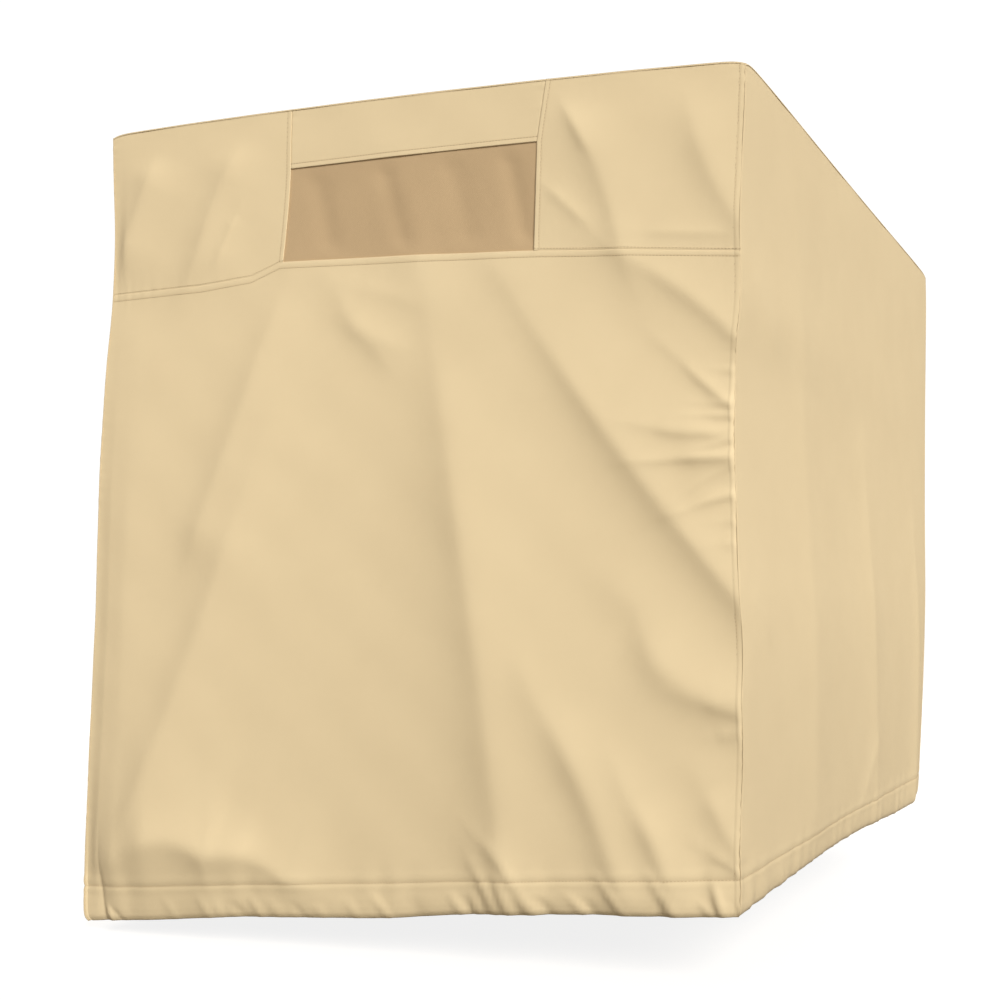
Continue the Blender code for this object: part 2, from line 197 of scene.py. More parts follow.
# Short creases that run out of a seam, too fine for the solids
CREASES: dict[Side, tuple[Fold, ...]] = {
    Side.FRONT: (
        Fold((372, -340), (470, -424), bow=-4, lit=14, shade=6, rise=3.2, crest=3),
        Fold((420, -358), (462, -366), bow=0, lit=6, shade=4, rise=1.2, crest=2),
        Fold((404, -396), (466, -402), bow=0, lit=7, shade=4, rise=1.6, crest=2),
        Fold((398, -411), (466, -414), bow=0, lit=7, shade=4, rise=2.4, crest=1.5),
        Fold((338, -421), (406, -432), bow=-3, lit=10, shade=6, rise=2.2, crest=2.5),
        Fold((390, -450), (470, -426), bow=-4, lit=7, shade=4, rise=2.0, crest=2),
        Fold((352, -462), (468, -463), bow=3, lit=9, shade=4, rise=3.4, crest=1.5),
        Fold((372, -510), (440, -470), bow=5, lit=9, shade=6, rise=1.6, crest=2.5),
        Fold((384, -520), (466, -502), bow=5, lit=8, shade=4, rise=2.8, crest=2),
        Fold((424, -533), (464, -531), bow=0, lit=6, shade=4, rise=1.2, crest=2),
        Fold((418, -560), (464, -556), bow=0, lit=7, shade=4, rise=1.4, crest=2),
        Fold((392, -734), (452, -752), bow=0, lit=10, shade=6, rise=2.2, crest=3),
        Fold((410, -776), (452, -770), bow=0, lit=10, shade=6, rise=2.0, crest=3),
        Fold((398, -900), (446, -928), bow=0, lit=12, shade=6, rise=2.4, crest=3),
        Fold((412, -938), (424, -976), bow=0, lit=12, shade=6, rise=2.0, crest=3),
        Fold((118, -904), (166, -956), bow=6, lit=12, shade=7, rise=3.4, crest=2.5),
        Fold((104, -922), (126, -962), bow=0, lit=9, shade=6, rise=2.2, crest=2),
        Fold((-88, -226), (-30, -300), bow=-6, lit=26, shade=12, rise=2.6, crest=6),
        Fold((-78, -266), (-14, -298), bow=0, lit=20, shade=12, rise=1.8, crest=5),
        Fold((-62, -222), (6, -243), bow=0, lit=16, shade=10, rise=1.4, crest=4),
        Fold((204, -122), (245, -160), bow=0, lit=10, shade=6, rise=1.8, crest=3),
        Fold((222, -16), (250, -66), bow=0, lit=10, shade=5, rise=2.0, crest=2),
        Fold((-243, -108), (-268, -156), bow=0, lit=10, shade=7, rise=1.8, crest=3),
        Fold((327, -190), (406, -199), bow=0, lit=10, shade=6, rise=1.2, crest=3),
        Fold((408, 2), (462, -10), bow=8, lit=12, shade=7, rise=3.4, crest=2.5),
        Fold((-440, -962), (-435, -1050), bow=0, lit=5, shade=22, rise=-4.6, crest=1.2),
    ),
    Side.RIGHT: (
        Fold((-470, -905), (-420, -960), bow=0, lit=14, shade=8, rise=2.0, crest=3),
        Fold((-478, -610), (-430, -655), bow=0, lit=14, shade=8, rise=1.6, crest=3),
        Fold((-478, -230), (-400, -300), bow=0, lit=22, shade=12, rise=1.6, crest=4),
        Fold((150, -815), (60, -920), bow=0, lit=30, shade=20, rise=2.0, crest=6),
    ),
    Side.BACK: (
        Fold((-452, -150), (-380, -260), bow=0, lit=24, shade=14, rise=2.2, crest=4),
        Fold((452, -420), (390, -470), bow=0, lit=18, shade=10, rise=2.0, crest=4),
        Fold((440, -700), (400, -820), bow=0, lit=20, shade=12, rise=2.0, crest=4),
    ),
    Side.LEFT: (
        Fold((-478, -180), (-400, -280), bow=0, lit=24, shade=14, rise=2.2, crest=4),
        Fold((480, -520), (420, -560), bow=0, lit=18, shade=10, rise=2.0, crest=4),
        Fold((470, -760), (410, -860), bow=0, lit=20, shade=12, rise=2.0, crest=4),
    ),
}


@dataclass(frozen=True)
class Pucker:
    """One slanted gather in the hem (mm): its place, lean, half width, rise and how far up it goes."""

    across: float
    lean: float
    half: float
    rise: float
    tall: float = 22.0


FRONT_PUCKERS: tuple[Pucker, ...] = (
    Pucker(-428, 6, 4, 2.4, 18),
    Pucker(-416, 9, 5, -1.6, 14),
    Pucker(-332, 14, 6, 1.1, 28),
    Pucker(-278, 14, 6, 1.5, 30),
    Pucker(-252, 4, 5, 1.3, 20),
    Pucker(-226, 11, 7, -1.8, 18),
    Pucker(-200, 11, 6, 2.0, 26),
    Pucker(-168, 7, 8, 1.4, 20),
    Pucker(-138, 11, 6, -1.5, 18),
    Pucker(-106, 8, 6, 1.2, 16),
    Pucker(-60, 10, 7, 1.6, 20),
    Pucker(-24, 18, 6, 2.2, 26),
    Pucker(30, 8, 9, -1.0, 20),
    Pucker(82, 13, 5, 2.2, 26),
    Pucker(100, 9, 4, -1.8, 22),
    Pucker(112, 6, 4, 2.0, 28),
    Pucker(124, 17, 6, 2.6, 46),
    Pucker(146, 15, 6, 2.8, 48),
    Pucker(176, 14, 8, 3.0, 26),
    Pucker(200, 11, 7, -2.4, 20),
    Pucker(238, 16, 6, 2.4, 24),
    Pucker(258, 8, 6, -1.6, 18),
    Pucker(274, 30, 6, 2.6, 48),
    Pucker(338, 26, 6, 2.8, 50),
    Pucker(352, -8, 6, -2.0, 20),
    Pucker(396, 10, 6, 1.4, 18),
    Pucker(411, 9, 5, 2.4, 36),
    Pucker(432, 6, 6, -1.2, 18),
)

# Heights up the walls, as shares, with how far the cloth is drawn in there, for the hem and its row (mm)
HEM_TUCK: tuple[tuple[float, float], ...] = (
    (0.000, 4.6), (0.004, 2.0), (0.010, 0.7), (0.018, 0.15), (0.030, 0.0),
    (0.0395, 0.0), (0.0425, 0.55), (0.0455, 0.0), (0.060, 0.0), (1.0, 0.0),
)
# Heights up the front, with the places across it of the window's left and right seams, all as shares
WINDOW_SEAMS: tuple[tuple[float, float, float], ...] = (
    (0.000, 0.310, 0.718), (0.780, 0.310, 0.718), (0.924, 0.319, 0.717), (1.000, 0.320, 0.729),
)
WINDOW_LEFT, WINDOW_RIGHT = 1, 2
# Places across the front, as shares, with how far the band's seam rises there (mm)
BAND_LIFT: tuple[tuple[float, float], ...] = (
    (0.00, 0), (0.17, 1), (0.26, 8), (0.31, 24), (0.72, 14), (0.81, 10), (1.00, 0),
)
# Places across the two seen walls, as shares, with how far the lower edge rises above a straight line (mm)
HEM_LIFT: dict[Side, tuple[tuple[float, float], ...]] = {
    Side.FRONT: (
        (0.00, 0), (0.14, 2), (0.26, 5), (0.40, 3), (0.51, 2),
        (0.62, 6), (0.72, 6), (0.81, 5), (0.92, 2), (1.00, 0),
    ),
    Side.RIGHT: ((0.00, 0), (0.05, 3), (0.18, 7), (0.35, 10), (0.60, 8), (0.94, -4), (1.00, 0)),
}


@dataclass(frozen=True)
class PuckerRow:
    """An uneven row of gathers for a hem whose own aren't seen: means, with how far each strays (mm)."""

    count: int = 30
    first: float = -480.0
    pitch: tuple[float, float] = (33.0, 8.0)
    lean: tuple[float, float] = (11.0, 6.0)
    half: tuple[float, float] = (6.5, 1.5)
    rise: tuple[float, float] = (2.4, 0.8)
    tall: tuple[float, float] = (26.0, 12.0)

    def puckers(self, wall: Wall) -> tuple[Pucker, ...]:
        """Lay the row along one wall.

        Args:
            wall: The wall, whose phase sets the row's unevenness and whose gather its strength.

        Returns:
            The gathers, in and out by turns.
        """
        return tuple(
            Pucker(
                across=self.first + self.pitch[0] * i + self.pitch[1] * math.sin(2.3 * i + wall.phase),
                lean=self.lean[0] + self.lean[1] * math.sin(1.7 * i + wall.phase),
                half=self.half[0] + self.half[1] * math.sin(3.1 * i),
                rise=(self.rise[0] + self.rise[1] * math.sin(1.3 * i + wall.phase)) * (-1) ** i * wall.gather,
                tall=self.tall[0] + self.tall[1] * math.sin(2.9 * i + wall.phase),
            )
            for i in range(self.count)
        )


# Slanted waves of the cloth's soft unevenness: turns across and up (radians a metre), and the start
WALL_WAVES: tuple[tuple[float, float, float], ...] = ((37.0, 22.0, 0.0), (13.0, 29.0, 0.0))
TOP_WAVES: tuple[tuple[float, float, float], ...] = ((9.0, 4.0, 0.6), (-3.0, 8.0, 1.0))
# Waves of a hidden lower edge: each one's part and its turns (radians a metre)
HEM_WAVES: tuple[tuple[float, float], ...] = ((0.6, 41.0), (0.4, 19.0))


def smooth(x: np.ndarray) -> np.ndarray:
    """Ease from 0 to 1 as x goes from 0 to 1."""
    x = np.clip(x, 0.0, 1.0)
    return x * x * (3.0 - 2.0 * x)


def column(table: Sequence[Sequence[float]], index: int) -> np.ndarray:
    """One column of a table."""
    return np.array([row[index] for row in table], dtype=float)


def straight(table: Sequence[Sequence[float]], x: np.ndarray, index: int = 1) -> np.ndarray:
    """One column of a table, read at x of its first column with straight lines between the rows."""
    return np.interp(x, column(table, 0), column(table, index))


def eased(table: Sequence[Sequence[float]], x: np.ndarray) -> np.ndarray:
    """A table's second column, read at x of its first column without sharp bends.

    Args:
        table: Rows of a place and its value, with rising places.
        x: Places to read.

    Returns:
        The curve's values at x.
    """
    knots, values = column(table, 0), column(table, 1)
    slope = np.gradient(values, knots)
    spot = np.clip(np.searchsorted(knots, x, side="right") - 1, 0, len(knots) - 2)
    step = knots[spot + 1] - knots[spot]
    part = np.clip((x - knots[spot]) / step, 0.0, 1.0)
    rise = part * part * (3.0 - 2.0 * part)
    bend = part * (1.0 - part)
    held = slope[spot] * (1.0 - part) - slope[spot + 1] * part
    return values[spot] * (1.0 - rise) + values[spot + 1] * rise + step * bend * held


def hat(x: np.ndarray, low: float, peak: float, high: float) -> np.ndarray:
    """A straight-sided bump from 0 at low to 1 at peak and 0 at high."""
    return np.interp(x, (low, peak, high), (0.0, 1.0, 0.0))


def uneven(x: np.ndarray, beat: float, drift: float, swing: float, phase: float = 0.0) -> np.ndarray:
    """A wave whose beat drifts, so that it doesn't repeat evenly.

    Args:
        x: Places along it, in metres.
        beat: The wave's turns, in radians a metre.
        drift: The drift's turns, in radians a metre.
        swing: How far the drift shifts the wave, in radians.
        phase: Where the drift starts, in radians.

    Returns:
        The wave, from -1 to 1.
    """
    return np.sin(x * beat + swing * np.sin(x * drift + phase))


def dapple(x: np.ndarray, y: np.ndarray, waves: Sequence[tuple[float, float, float]]) -> np.ndarray:
    """Soft unevenness over a surface, as the product of slanted waves.

    Args:
        x: Places across, in metres.
        y: Places up or back, in metres.
        waves: Each wave's turns along x and along y, and its start.

    Returns:
        The unevenness, from -1 to 1.
    """
    product = np.ones_like(x)
    for over_x, over_y, start in waves:
        product = product * np.sin(over_x * x + over_y * y + start)
    return product


def spacing(
    length: float,
    step: float,
    fine: float,
    reach: float,
    zones: Sequence[tuple[float, float, float]] = (),
    blend: float = 0.020,
    samples: int = 6001,
) -> np.ndarray:
    """Shares along an edge, close together near both ends and in chosen zones.

    Args:
        length: The edge's length in metres.
        step: Spacing in the middle.
        fine: Spacing at the ends.
        reach: How far the fine spacing goes in from each end.
        zones: Further close stretches, each with its start, its end and its spacing.
        blend: How far past a zone the spacing widens again.
        samples: In how many places the spacing is summed up.

    Returns:
        Rising shares from 0 to 1.
    """
    places = np.linspace(0.0, length, samples)
    gap = np.interp(np.minimum(places, length - places), (reach, 2.0 * reach), (fine, step))
    for low, high, close in zones:
        away = np.maximum(low - places, places - high)
        gap = np.minimum(gap, np.interp(away, (0.0, blend), (close, step)))
    middle = 0.5 * (gap[1:] + gap[:-1])
    count = np.concatenate([[0.0], np.cumsum(np.diff(places) / middle)])
    return np.interp(np.linspace(0.0, count[-1], round(count[-1]) + 1), count, places) / length


@dataclass(frozen=True)
class CoverForm:
    """The draped form of the whole cover, read at any place on its walls."""

    width: float = 0.914
    depth: float = 1.016
    height: float = 1.010
    cloth: float = 0.002
    radius: float = 0.012
    seam_inset: float = 0.0045
    settle: float = 0.0015
    crown: float = 0.006
    side_sag: float = 0.004
    band: float = 0.78
    band_start: float = 0.66
    band_reach: tuple[float, float] = (0.72, 0.86)
    lintel: float = 0.924
    belly_height: float = 0.7
    seam_fade: float = 0.024
    corner_reach: float = 0.075
    crease_fade: float = 0.003
    seam_reach: float = 0.05
    corner_drop: float = 0.004
    corner_round: float = 0.009
    corner_start: float = 0.97
    rim_lift: float = 0.0018
    top_rest: float = 0.006
    top_fade: float = 0.060
    fold_start: float = 0.35
    fold_growth: float = 0.4
    fold_fade: float = 0.060
    fade_share: float = 0.4
    hem_height: float = 0.075
    hem_wave: float = 0.003
    pucker_height: float = 0.040
    pucker_fade: float = 1.4
    hem_slack: float = 0.0005
    hidden_hem: PuckerRow = PuckerRow()

    def corner_line(self, name: str, share: np.ndarray) -> tuple[np.ndarray, np.ndarray]:
        """Points of a corner's upright line.

        Args:
            name: The corner.
            share: Heights from the hem (0) to the top (1).

        Returns:
            The points, and the heights after the sewn band's own shift.
        """
        corner = CORNERS[name]
        low, high = self.band_reach
        share = share + (corner.band - self.band) * hat(share, low, self.band, high)
        wide, deep = self.width / 2 - self.cloth, self.depth / 2 - self.cloth
        plain = np.array([corner.side * wide, corner.face * deep, -self.cloth])
        hem = plain + np.array(corner.hem) * MM - np.array([0.0, 0.0, self.height])
        top = plain + np.array(corner.top) * MM
        points = hem + (top - hem) * share[..., None]
        drift = eased(corner.drift, share) * MM
        drawn = eased(HEM_TUCK, share) * MM + self.inset(self.height * (self.rim - share))
        points[..., 0] += drift * corner.drift_way[0] - corner.side * drawn
        points[..., 1] += drift * corner.drift_way[1] - corner.face * drawn
        return points, share

    @property
    def rim(self) -> float:
        """Height of the top's seam, as a share."""
        return 1.0 - (self.seam_inset - self.rim_lift) / self.height

    def inset(self, away: np.ndarray) -> np.ndarray:
        """How much further than its middle the cloth is drawn in at a distance from a corner seam."""
        return (self.seam_inset - self.settle) * np.exp(-np.maximum(away, 0.0) / self.corner_reach)

    def under_top(self, share: np.ndarray) -> np.ndarray:
        """How freely the cloth hangs at each height, from 0 at the top's seam to 1 below it."""
        return smooth(((1.0 - share) * self.height - self.top_rest) / self.top_fade)

    def seam_lift(self, line: np.ndarray, share: np.ndarray) -> np.ndarray:
        """How far the front's folds still lift its right corner seam.

        Args:
            line: Points of that corner's upright line.
            share: Their heights, as shares.

        Returns:
            The lift towards the front, in metres.
        """
        across = line[..., 0] - self.seam_inset
        lift = sum(self.fold_height(fold, across, line[..., 2]) for fold in FOLDS[Side.FRONT])
        return lift * self.under_top(share)

    def run(self, side: Side, share: np.ndarray) -> np.ndarray:
        """Measure a wall between its two corner lines.

        Args:
            side: The wall.
            share: Heights, as shares.

        Returns:
            The width at each height, in metres.
        """
        wall = WALLS[side]
        left, _ = self.corner_line(wall.left, share)
        right, _ = self.corner_line(wall.right, share)
        return np.linalg.norm(right - left, axis=-1)

    def window_seam(self, seam: int, share: np.ndarray) -> np.ndarray:
        """Places of one of the window's upright seams.

        Args:
            seam: WINDOW_LEFT or WINDOW_RIGHT.
            share: Heights, as shares.

        Returns:
            Places across the front, as shares of its run.
        """
        run = self.run(Side.FRONT, share)
        flat = straight(WINDOW_SEAMS, share, seam)
        return (self.radius + (run - 2.0 * self.radius) * flat) / run

    def fold_height(self, fold: Fold, across: np.ndarray, up: np.ndarray) -> np.ndarray:
        """How far one fold lifts the cloth off the wall.

        Args:
            fold: The fold.
            across: Places across the wall, in metres.
            up: Heights there.

        Returns:
            The lift in metres.
        """
        start = np.array(fold.start) * MM
        way = np.array(fold.end) * MM - start
        length = float(np.hypot(*way))
        way = way / length
        ahead = ((across - start[0]) * way[0] + (up - start[1]) * way[1]) / length
        along = np.clip(ahead, 0.0, 1.0)
        beside = (across - start[0]) * -way[1] + (up - start[1]) * way[0]
        beside = beside - fold.bow * MM * 4.0 * along * (1.0 - along)
        reach = np.where(beside > 0.0, fold.lit, fold.shade) * MM
        crest = fold.crest * MM
        round_off = np.sqrt(beside**2 + crest**2) - crest
        growth = self.fold_start + (1.0 - self.fold_start) * smooth(along / self.fold_growth)
        fade = min(self.fold_fade, self.fade_share * length)
        past = np.abs(ahead - along) * length
        return fold.rise * MM * growth * np.exp(-round_off / reach) * np.exp(-((past / fade) ** 2))

    def soft_lift(
        self, side: Side, share: np.ndarray, place: np.ndarray, across: np.ndarray, up: np.ndarray,
    ) -> np.ndarray:
        """How far a wall's belly and its soft folds lift it.

        Args:
            side: The wall.
            share: Heights, as shares.
            place: Places across, as shares.
            across: Places across, in metres.
            up: Heights, in metres.

        Returns:
            The lift in metres.
        """
        bulge = np.sin(math.pi * place) * np.sin(math.pi * np.clip(share, 0.0, 1.0) ** self.belly_height)
        folds = sum(self.fold_height(fold, across, up) for fold in FOLDS[side])
        return (WALLS[side].belly * bulge + folds) * self.under_top(share)

    def fine_lift(self, side: Side, share: np.ndarray, across: np.ndarray, up: np.ndarray) -> np.ndarray:
        """How far the short creases and the hem's gathers lift a wall.

        Args:
            side: The wall.
            share: Heights, as shares.
            across: Places across, in metres.
            up: Heights, in metres.

        Returns:
            The lift in metres.
        """
        creases = sum(self.fold_height(crease, across, up) for crease in CREASES[side])
        return creases * self.under_top(share) + self.gathers(side, across, share)

    def gathers(self, side: Side, across: np.ndarray, share: np.ndarray) -> np.ndarray:
        """The hem's gathers: slanted puckers that run up from its edge, and soft waves round its row.

        Args:
            side: The wall.
            across: Places across, in metres.
            share: Heights, as shares.

        Returns:
            The lift in metres.
        """
        up = share * self.height
        wall = WALLS[side]
        lift = np.zeros_like(across)
        for pucker in FRONT_PUCKERS if side is Side.FRONT else self.hidden_hem.puckers(wall):
            tall = pucker.tall * MM
            middle = (pucker.across + pucker.lean * np.clip(1.0 - up / tall, -1.0, 1.0)) * MM
            bump = np.exp(-(((across - middle) / (pucker.half * MM)) ** 2))
            lift += pucker.rise * MM * bump * smooth(self.pucker_fade - up / tall)
        soft = self.hem_slack * uneven(across, beat=105.0, drift=31.0, swing=2.0, phase=wall.phase)
        return lift + soft * smooth(1.0 - (up - self.pucker_height) / self.pucker_height)

    def hem_waves(self, side: Side, place: np.ndarray, across: np.ndarray) -> np.ndarray:
        """How far a wall's lower edge rises and falls.

        Args:
            side: The wall.
            place: Places across, as shares.
            across: Places across, in metres.

        Returns:
            The rise in metres, from the photo's line for a wall that is seen.
        """
        if side in HEM_LIFT:
            return eased(HEM_LIFT[side], place) * MM
        phase = WALLS[side].phase
        return self.hem_wave * sum(part * np.sin(across * turns + phase) for part, turns in HEM_WAVES)

    def levels(self, side: Side, share: np.ndarray, place: np.ndarray) -> np.ndarray:
        """How far a wall's rows stand above straight lines between its corners.

        Args:
            side: The wall.
            share: Heights, as shares.
            place: Places across, as shares.

        Returns:
            The rise in metres, with the front's band seam and the top edge's crown or sag.
        """
        middle = {Side.FRONT: self.crown, Side.RIGHT: -self.side_sag}.get(side, 0.0)
        rise = middle * (1.0 - (2.0 * place - 1.0) ** 2) * share**2
        if side is Side.FRONT:
            low, high = self.band_reach
            stations = (self.band_start, low, self.band, high, self.lintel)
            near_band = np.interp(share, stations, (0.0, 0.5, 1.0, 0.5, 0.0))
            rise = rise + straight(BAND_LIFT, place) * MM * near_band
        return rise

    def wall_points(self, side: Side, share: np.ndarray, place: np.ndarray) -> np.ndarray:
        """Points of a wall's inner face.

        Args:
            side: The wall.
            share: Heights, as shares.
            place: Places across, as shares of the run between the corner lines.

        Returns:
            The points, one for each entry.
        """
        wall = WALLS[side]
        out, way = wall.ways()
        left, left_share = self.corner_line(wall.left, share)
        right, right_share = self.corner_line(wall.right, share)
        run = np.linalg.norm(right - left, axis=-1)
        grid = left + (right - left) * place[..., None]
        share = left_share * (1.0 - place) + right_share * place
        across = grid @ way
        grid[..., 2] += self.levels(side, share, place)
        at_seam = np.minimum(place, 1.0 - place) * run - self.seam_inset
        at_sides = smooth(at_seam / self.seam_fade)
        if side is Side.FRONT:
            at_sides = np.where(place > 0.5, 1.0, at_sides)
        if side is Side.RIGHT:
            near = 1.0 - smooth((place * run - self.seam_inset) / self.seam_reach)
            grid[..., 1] -= self.seam_lift(left, left_share) * near
        corner = smooth((share - self.corner_start) / (1.0 - self.corner_start))
        grid[..., 2] -= self.corner_drop * corner * np.exp(-np.maximum(at_seam, 0.0) / self.corner_round)
        push = self.soft_lift(side, share, place, across, grid[..., 2]) * at_sides
        push += self.fine_lift(side, share, across, grid[..., 2]) * smooth(at_seam / self.crease_fade)
        near_hem = 1.0 - smooth(share / self.hem_height)
        grid[..., 2] += self.hem_waves(side, place, across) * near_hem * at_sides
        return grid + out * (push - self.settle - self.inset(at_seam))[..., None]


@dataclass(frozen=True)
class SeamRelief:
    """Sizes of a sewn edge's low relief, and of the lines of painted shade laid along its seam and rows."""

    groove: float = 0.4 * MM
    groove_half: float = 1.1 * MM
    allowance: float = 7.0 * MM
    turned: float = 6.0 * MM
    rim_row: float = 1.5 * MM
    edge_row: float = 2.5 * MM
    hem_row: float = 43.0 * MM
    raised: float = 0.25 * MM
    slope: float = 1.5 * MM
    row_depth: float = 0.35 * MM
    row_half: float = 0.9 * MM
    pucker: float = 0.22 * MM
    pucker_reach: float = 12.0 * MM
    turned_pucker: float = 0.3

    def rows(self, sewing: Sewing) -> tuple[tuple[float, float], ...]:
        """Distances from the edge at which a line of painted shade lies, with each line's strength."""
        return {
            Sewing.SEAM: ((0.0, 0.7),),
            Sewing.RIM: ((0.0, 1.0), (self.rim_row, 0.9)),
            Sewing.FELLED: ((0.0, 0.45), (self.allowance, 0.3)),
            Sewing.TURNED: ((self.turned, 0.5),),
            Sewing.HEM: ((self.hem_row, 0.5),),
        }[sewing]

    def shade(self, sewing: Sewing, away: np.ndarray) -> np.ndarray:
        """How much painted shade the cloth takes beside an edge's seam and rows, from 0 to 1."""
        rows = self.rows(sewing)
        return sum(part * np.exp(-(((away - place) / self.groove_half) ** 2)) for place, part in rows)

    def doubled(self, away: np.ndarray, row: float) -> np.ndarray:
        """Lift of an edge that lies double as far as its pressed-in row."""
        flap = self.raised * (1.0 - smooth((away - row) / self.slope))
        return flap - self.row_depth * np.exp(-(((away - row) / self.row_half) ** 2))

    def push(self, sewing: Sewing, away: np.ndarray, along: np.ndarray) -> np.ndarray:
        """Lift of the cloth near one edge.

        Args:
            sewing: How the edge is finished.
            away: Distances from the edge.
            along: Places along it.

        Returns:
            The lift in metres.
        """
        if sewing is Sewing.HEM:
            return np.zeros_like(away)
        beat = uneven(along, beat=410.0, drift=57.0, swing=1.7) + 0.6 * np.sin(along * 233.0 + 1.1)
        strength = 0.5 + 0.5 * np.sin(along * 13.0 + 0.7)
        ripples = self.pucker * beat * strength * np.exp(-away / self.pucker_reach)
        if sewing is Sewing.TURNED:
            return self.doubled(away, self.turned) + self.turned_pucker * ripples
        lift = -self.groove * np.exp(-((away / self.groove_half) ** 2))
        if sewing is Sewing.FELLED:
            lift = lift + self.doubled(away, self.allowance)
        return lift if sewing is Sewing.RIM else lift + ripples


@dataclass
class WallPanel:
    """One sewn panel of a wall, cut between two heights and two upright seams."""

    name: str
    nodes: tuple[str, ...]
    side: Side
    low: float
    high: float
    sewing: dict[Edge, Sewing]
    flat: tuple[float, float]
    left_seam: Optional[int] = None
    right_seam: Optional[int] = None
    step: float = 0.0055
    fine: float = 0.0011
    fine_reach: float = 0.0100
    thickness: float = 0.0012
    lap: float = 0.0020
    close_columns: float = 0.0
    close_step: float = 0.0024
    close_rows: tuple[tuple[float, float, float], ...] = ()
    slack: float = 0.35 * MM
    form: CoverForm = CoverForm()
    relief: SeamRelief = SeamRelief()

    def bounds(self, share: np.ndarray) -> tuple[np.ndarray, np.ndarray]:
        """Find the panel's two upright edges.

        Args:
            share: Heights up the wall.

        Returns:
            Places of the left and the right edge, as shares of the wall's run.
        """
        corner = (self.form.seam_inset - self.lap) / self.form.run(self.side, share)
        left = corner if self.left_seam is None else self.form.window_seam(self.left_seam, share)
        right = 1.0 - corner if self.right_seam is None else self.form.window_seam(self.right_seam, share)
        return left, right

    def from_edges(self, share: np.ndarray, part: np.ndarray) -> dict[Edge, np.ndarray]:
        """Measure from the panel's four edges.

        Args:
            share: Heights up the wall.
            part: Shares across the panel.

        Returns:
            Distances from each edge, in metres.
        """
        first, last = self.bounds(share)
        wide = (last - first) * self.form.run(self.side, share)
        return {
            Edge.LEFT: wide * part,
            Edge.RIGHT: wide * (1.0 - part),
            Edge.LOWER: np.maximum(share - self.low, 0.0) * self.form.height,
            Edge.UPPER: np.maximum(self.high - share, 0.0) * self.form.height,
        }

    def surface(self, share: np.ndarray, part: np.ndarray) -> np.ndarray:
        """Points of the panel's inner face.

        Args:
            share: Heights up the wall.
            part: Shares across the panel, from its left edge to its right.

        Returns:
            The points.
        """
        first, last = self.bounds(share)
        place = first + (last - first) * part
        points = self.form.wall_points(self.side, share, place)
        out, way = WALLS[self.side].ways()
        across, up = points @ way, points[..., 2]
        push = self.slack * dapple(across, up, WALL_WAVES)
        for edge, away in self.from_edges(share, part).items():
            along = up if edge in (Edge.LEFT, Edge.RIGHT) else across
            push += self.relief.push(self.sewing[edge], away, along)
        return points + out * push[..., None]

    def grid(self) -> tuple[np.ndarray, np.ndarray]:
        """Lay the panel's outer face out as rows of points.

        Returns:
            The points from the lower edge up, and the painted shade along their seams and sewn rows.
        """
        tall = (self.high - self.low) * self.form.height
        ends = np.array([self.low, self.high])
        first, last = self.bounds(ends)
        wide = float(np.mean(self.form.run(self.side, ends)) * np.mean(last - first))
        close = self.close_columns
        beside = ((0.0, close, self.close_step), (wide - close, wide, self.close_step)) if close else ()
        rows = spacing(tall, self.step, self.fine, self.fine_reach, self.close_rows)
        parts = spacing(wide, self.step, self.fine, self.fine_reach, beside)
        share, part = np.meshgrid(self.low + (self.high - self.low) * rows, parts, indexing="ij")
        away = self.from_edges(share, part)
        # painted shade in the seam grooves and along the sewn rows, kept for each point
        shade = sum(self.relief.shade(self.sewing[edge], distance) for edge, distance in away.items())
        return lifted(self.surface(share, part), self.form.cloth), np.clip(shade, 0.0, 1.0)

    def row(
        self, edge: Edge, away: float, lift: float = 0.1 * MM, points: int = 420, end: float = 0.004,
        nudge: float = 0.0008,
    ) -> np.ndarray:
        """A sewing line parallel to one edge, laid on the outer face.

        Args:
            edge: The edge that it follows.
            away: Its distance from the edge.
            lift: How far it stands off the cloth.
            points: How many points it has.
            end: The share of the edge that it stops short of each end.
            nudge: How far to each side the cloth is felt for its way out.

        Returns:
            The line's points.
        """
        ahead = np.linspace(end, 1.0 - end, points)
        if edge in (Edge.LOWER, Edge.UPPER):
            drop = away / self.form.height
            share = np.full(points, self.low + drop if edge is Edge.LOWER else self.high - drop)
            part = ahead
        else:
            share = self.low + (self.high - self.low) * ahead
            first, last = self.bounds(share)
            part = away / ((last - first) * self.form.run(self.side, share))
            part = part if edge is Edge.LEFT else 1.0 - part
        below, above = (self.surface(share + way * nudge / self.form.height, part) for way in (-1.0, 1.0))
        middle = 0.5 * (below + above)
        normal = np.cross(np.gradient(middle, axis=0), above - below)
        normal /= np.linalg.norm(normal, axis=1)[:, None]
        out, _ = WALLS[self.side].ways()
        normal *= np.where(normal @ out < 0.0, -1.0, 1.0)[:, None]
        return middle + normal * (self.form.cloth + lift)

    def build(self, material: bpy.types.Material) -> bpy.types.Object:
        """Make the panel as a thin sheet that stands for its solid."""
        grid, shade = self.grid()
        return make_sheet(self.name, grid, self.thickness, material, shade)


def lifted(grid: np.ndarray, distance: float) -> np.ndarray:
    """A grid of points moved off its own surface, outwards."""
    normal = np.cross(np.gradient(grid, axis=1), np.gradient(grid, axis=0))
    normal /= np.linalg.norm(normal, axis=2)[..., None]
    return grid + normal * distance


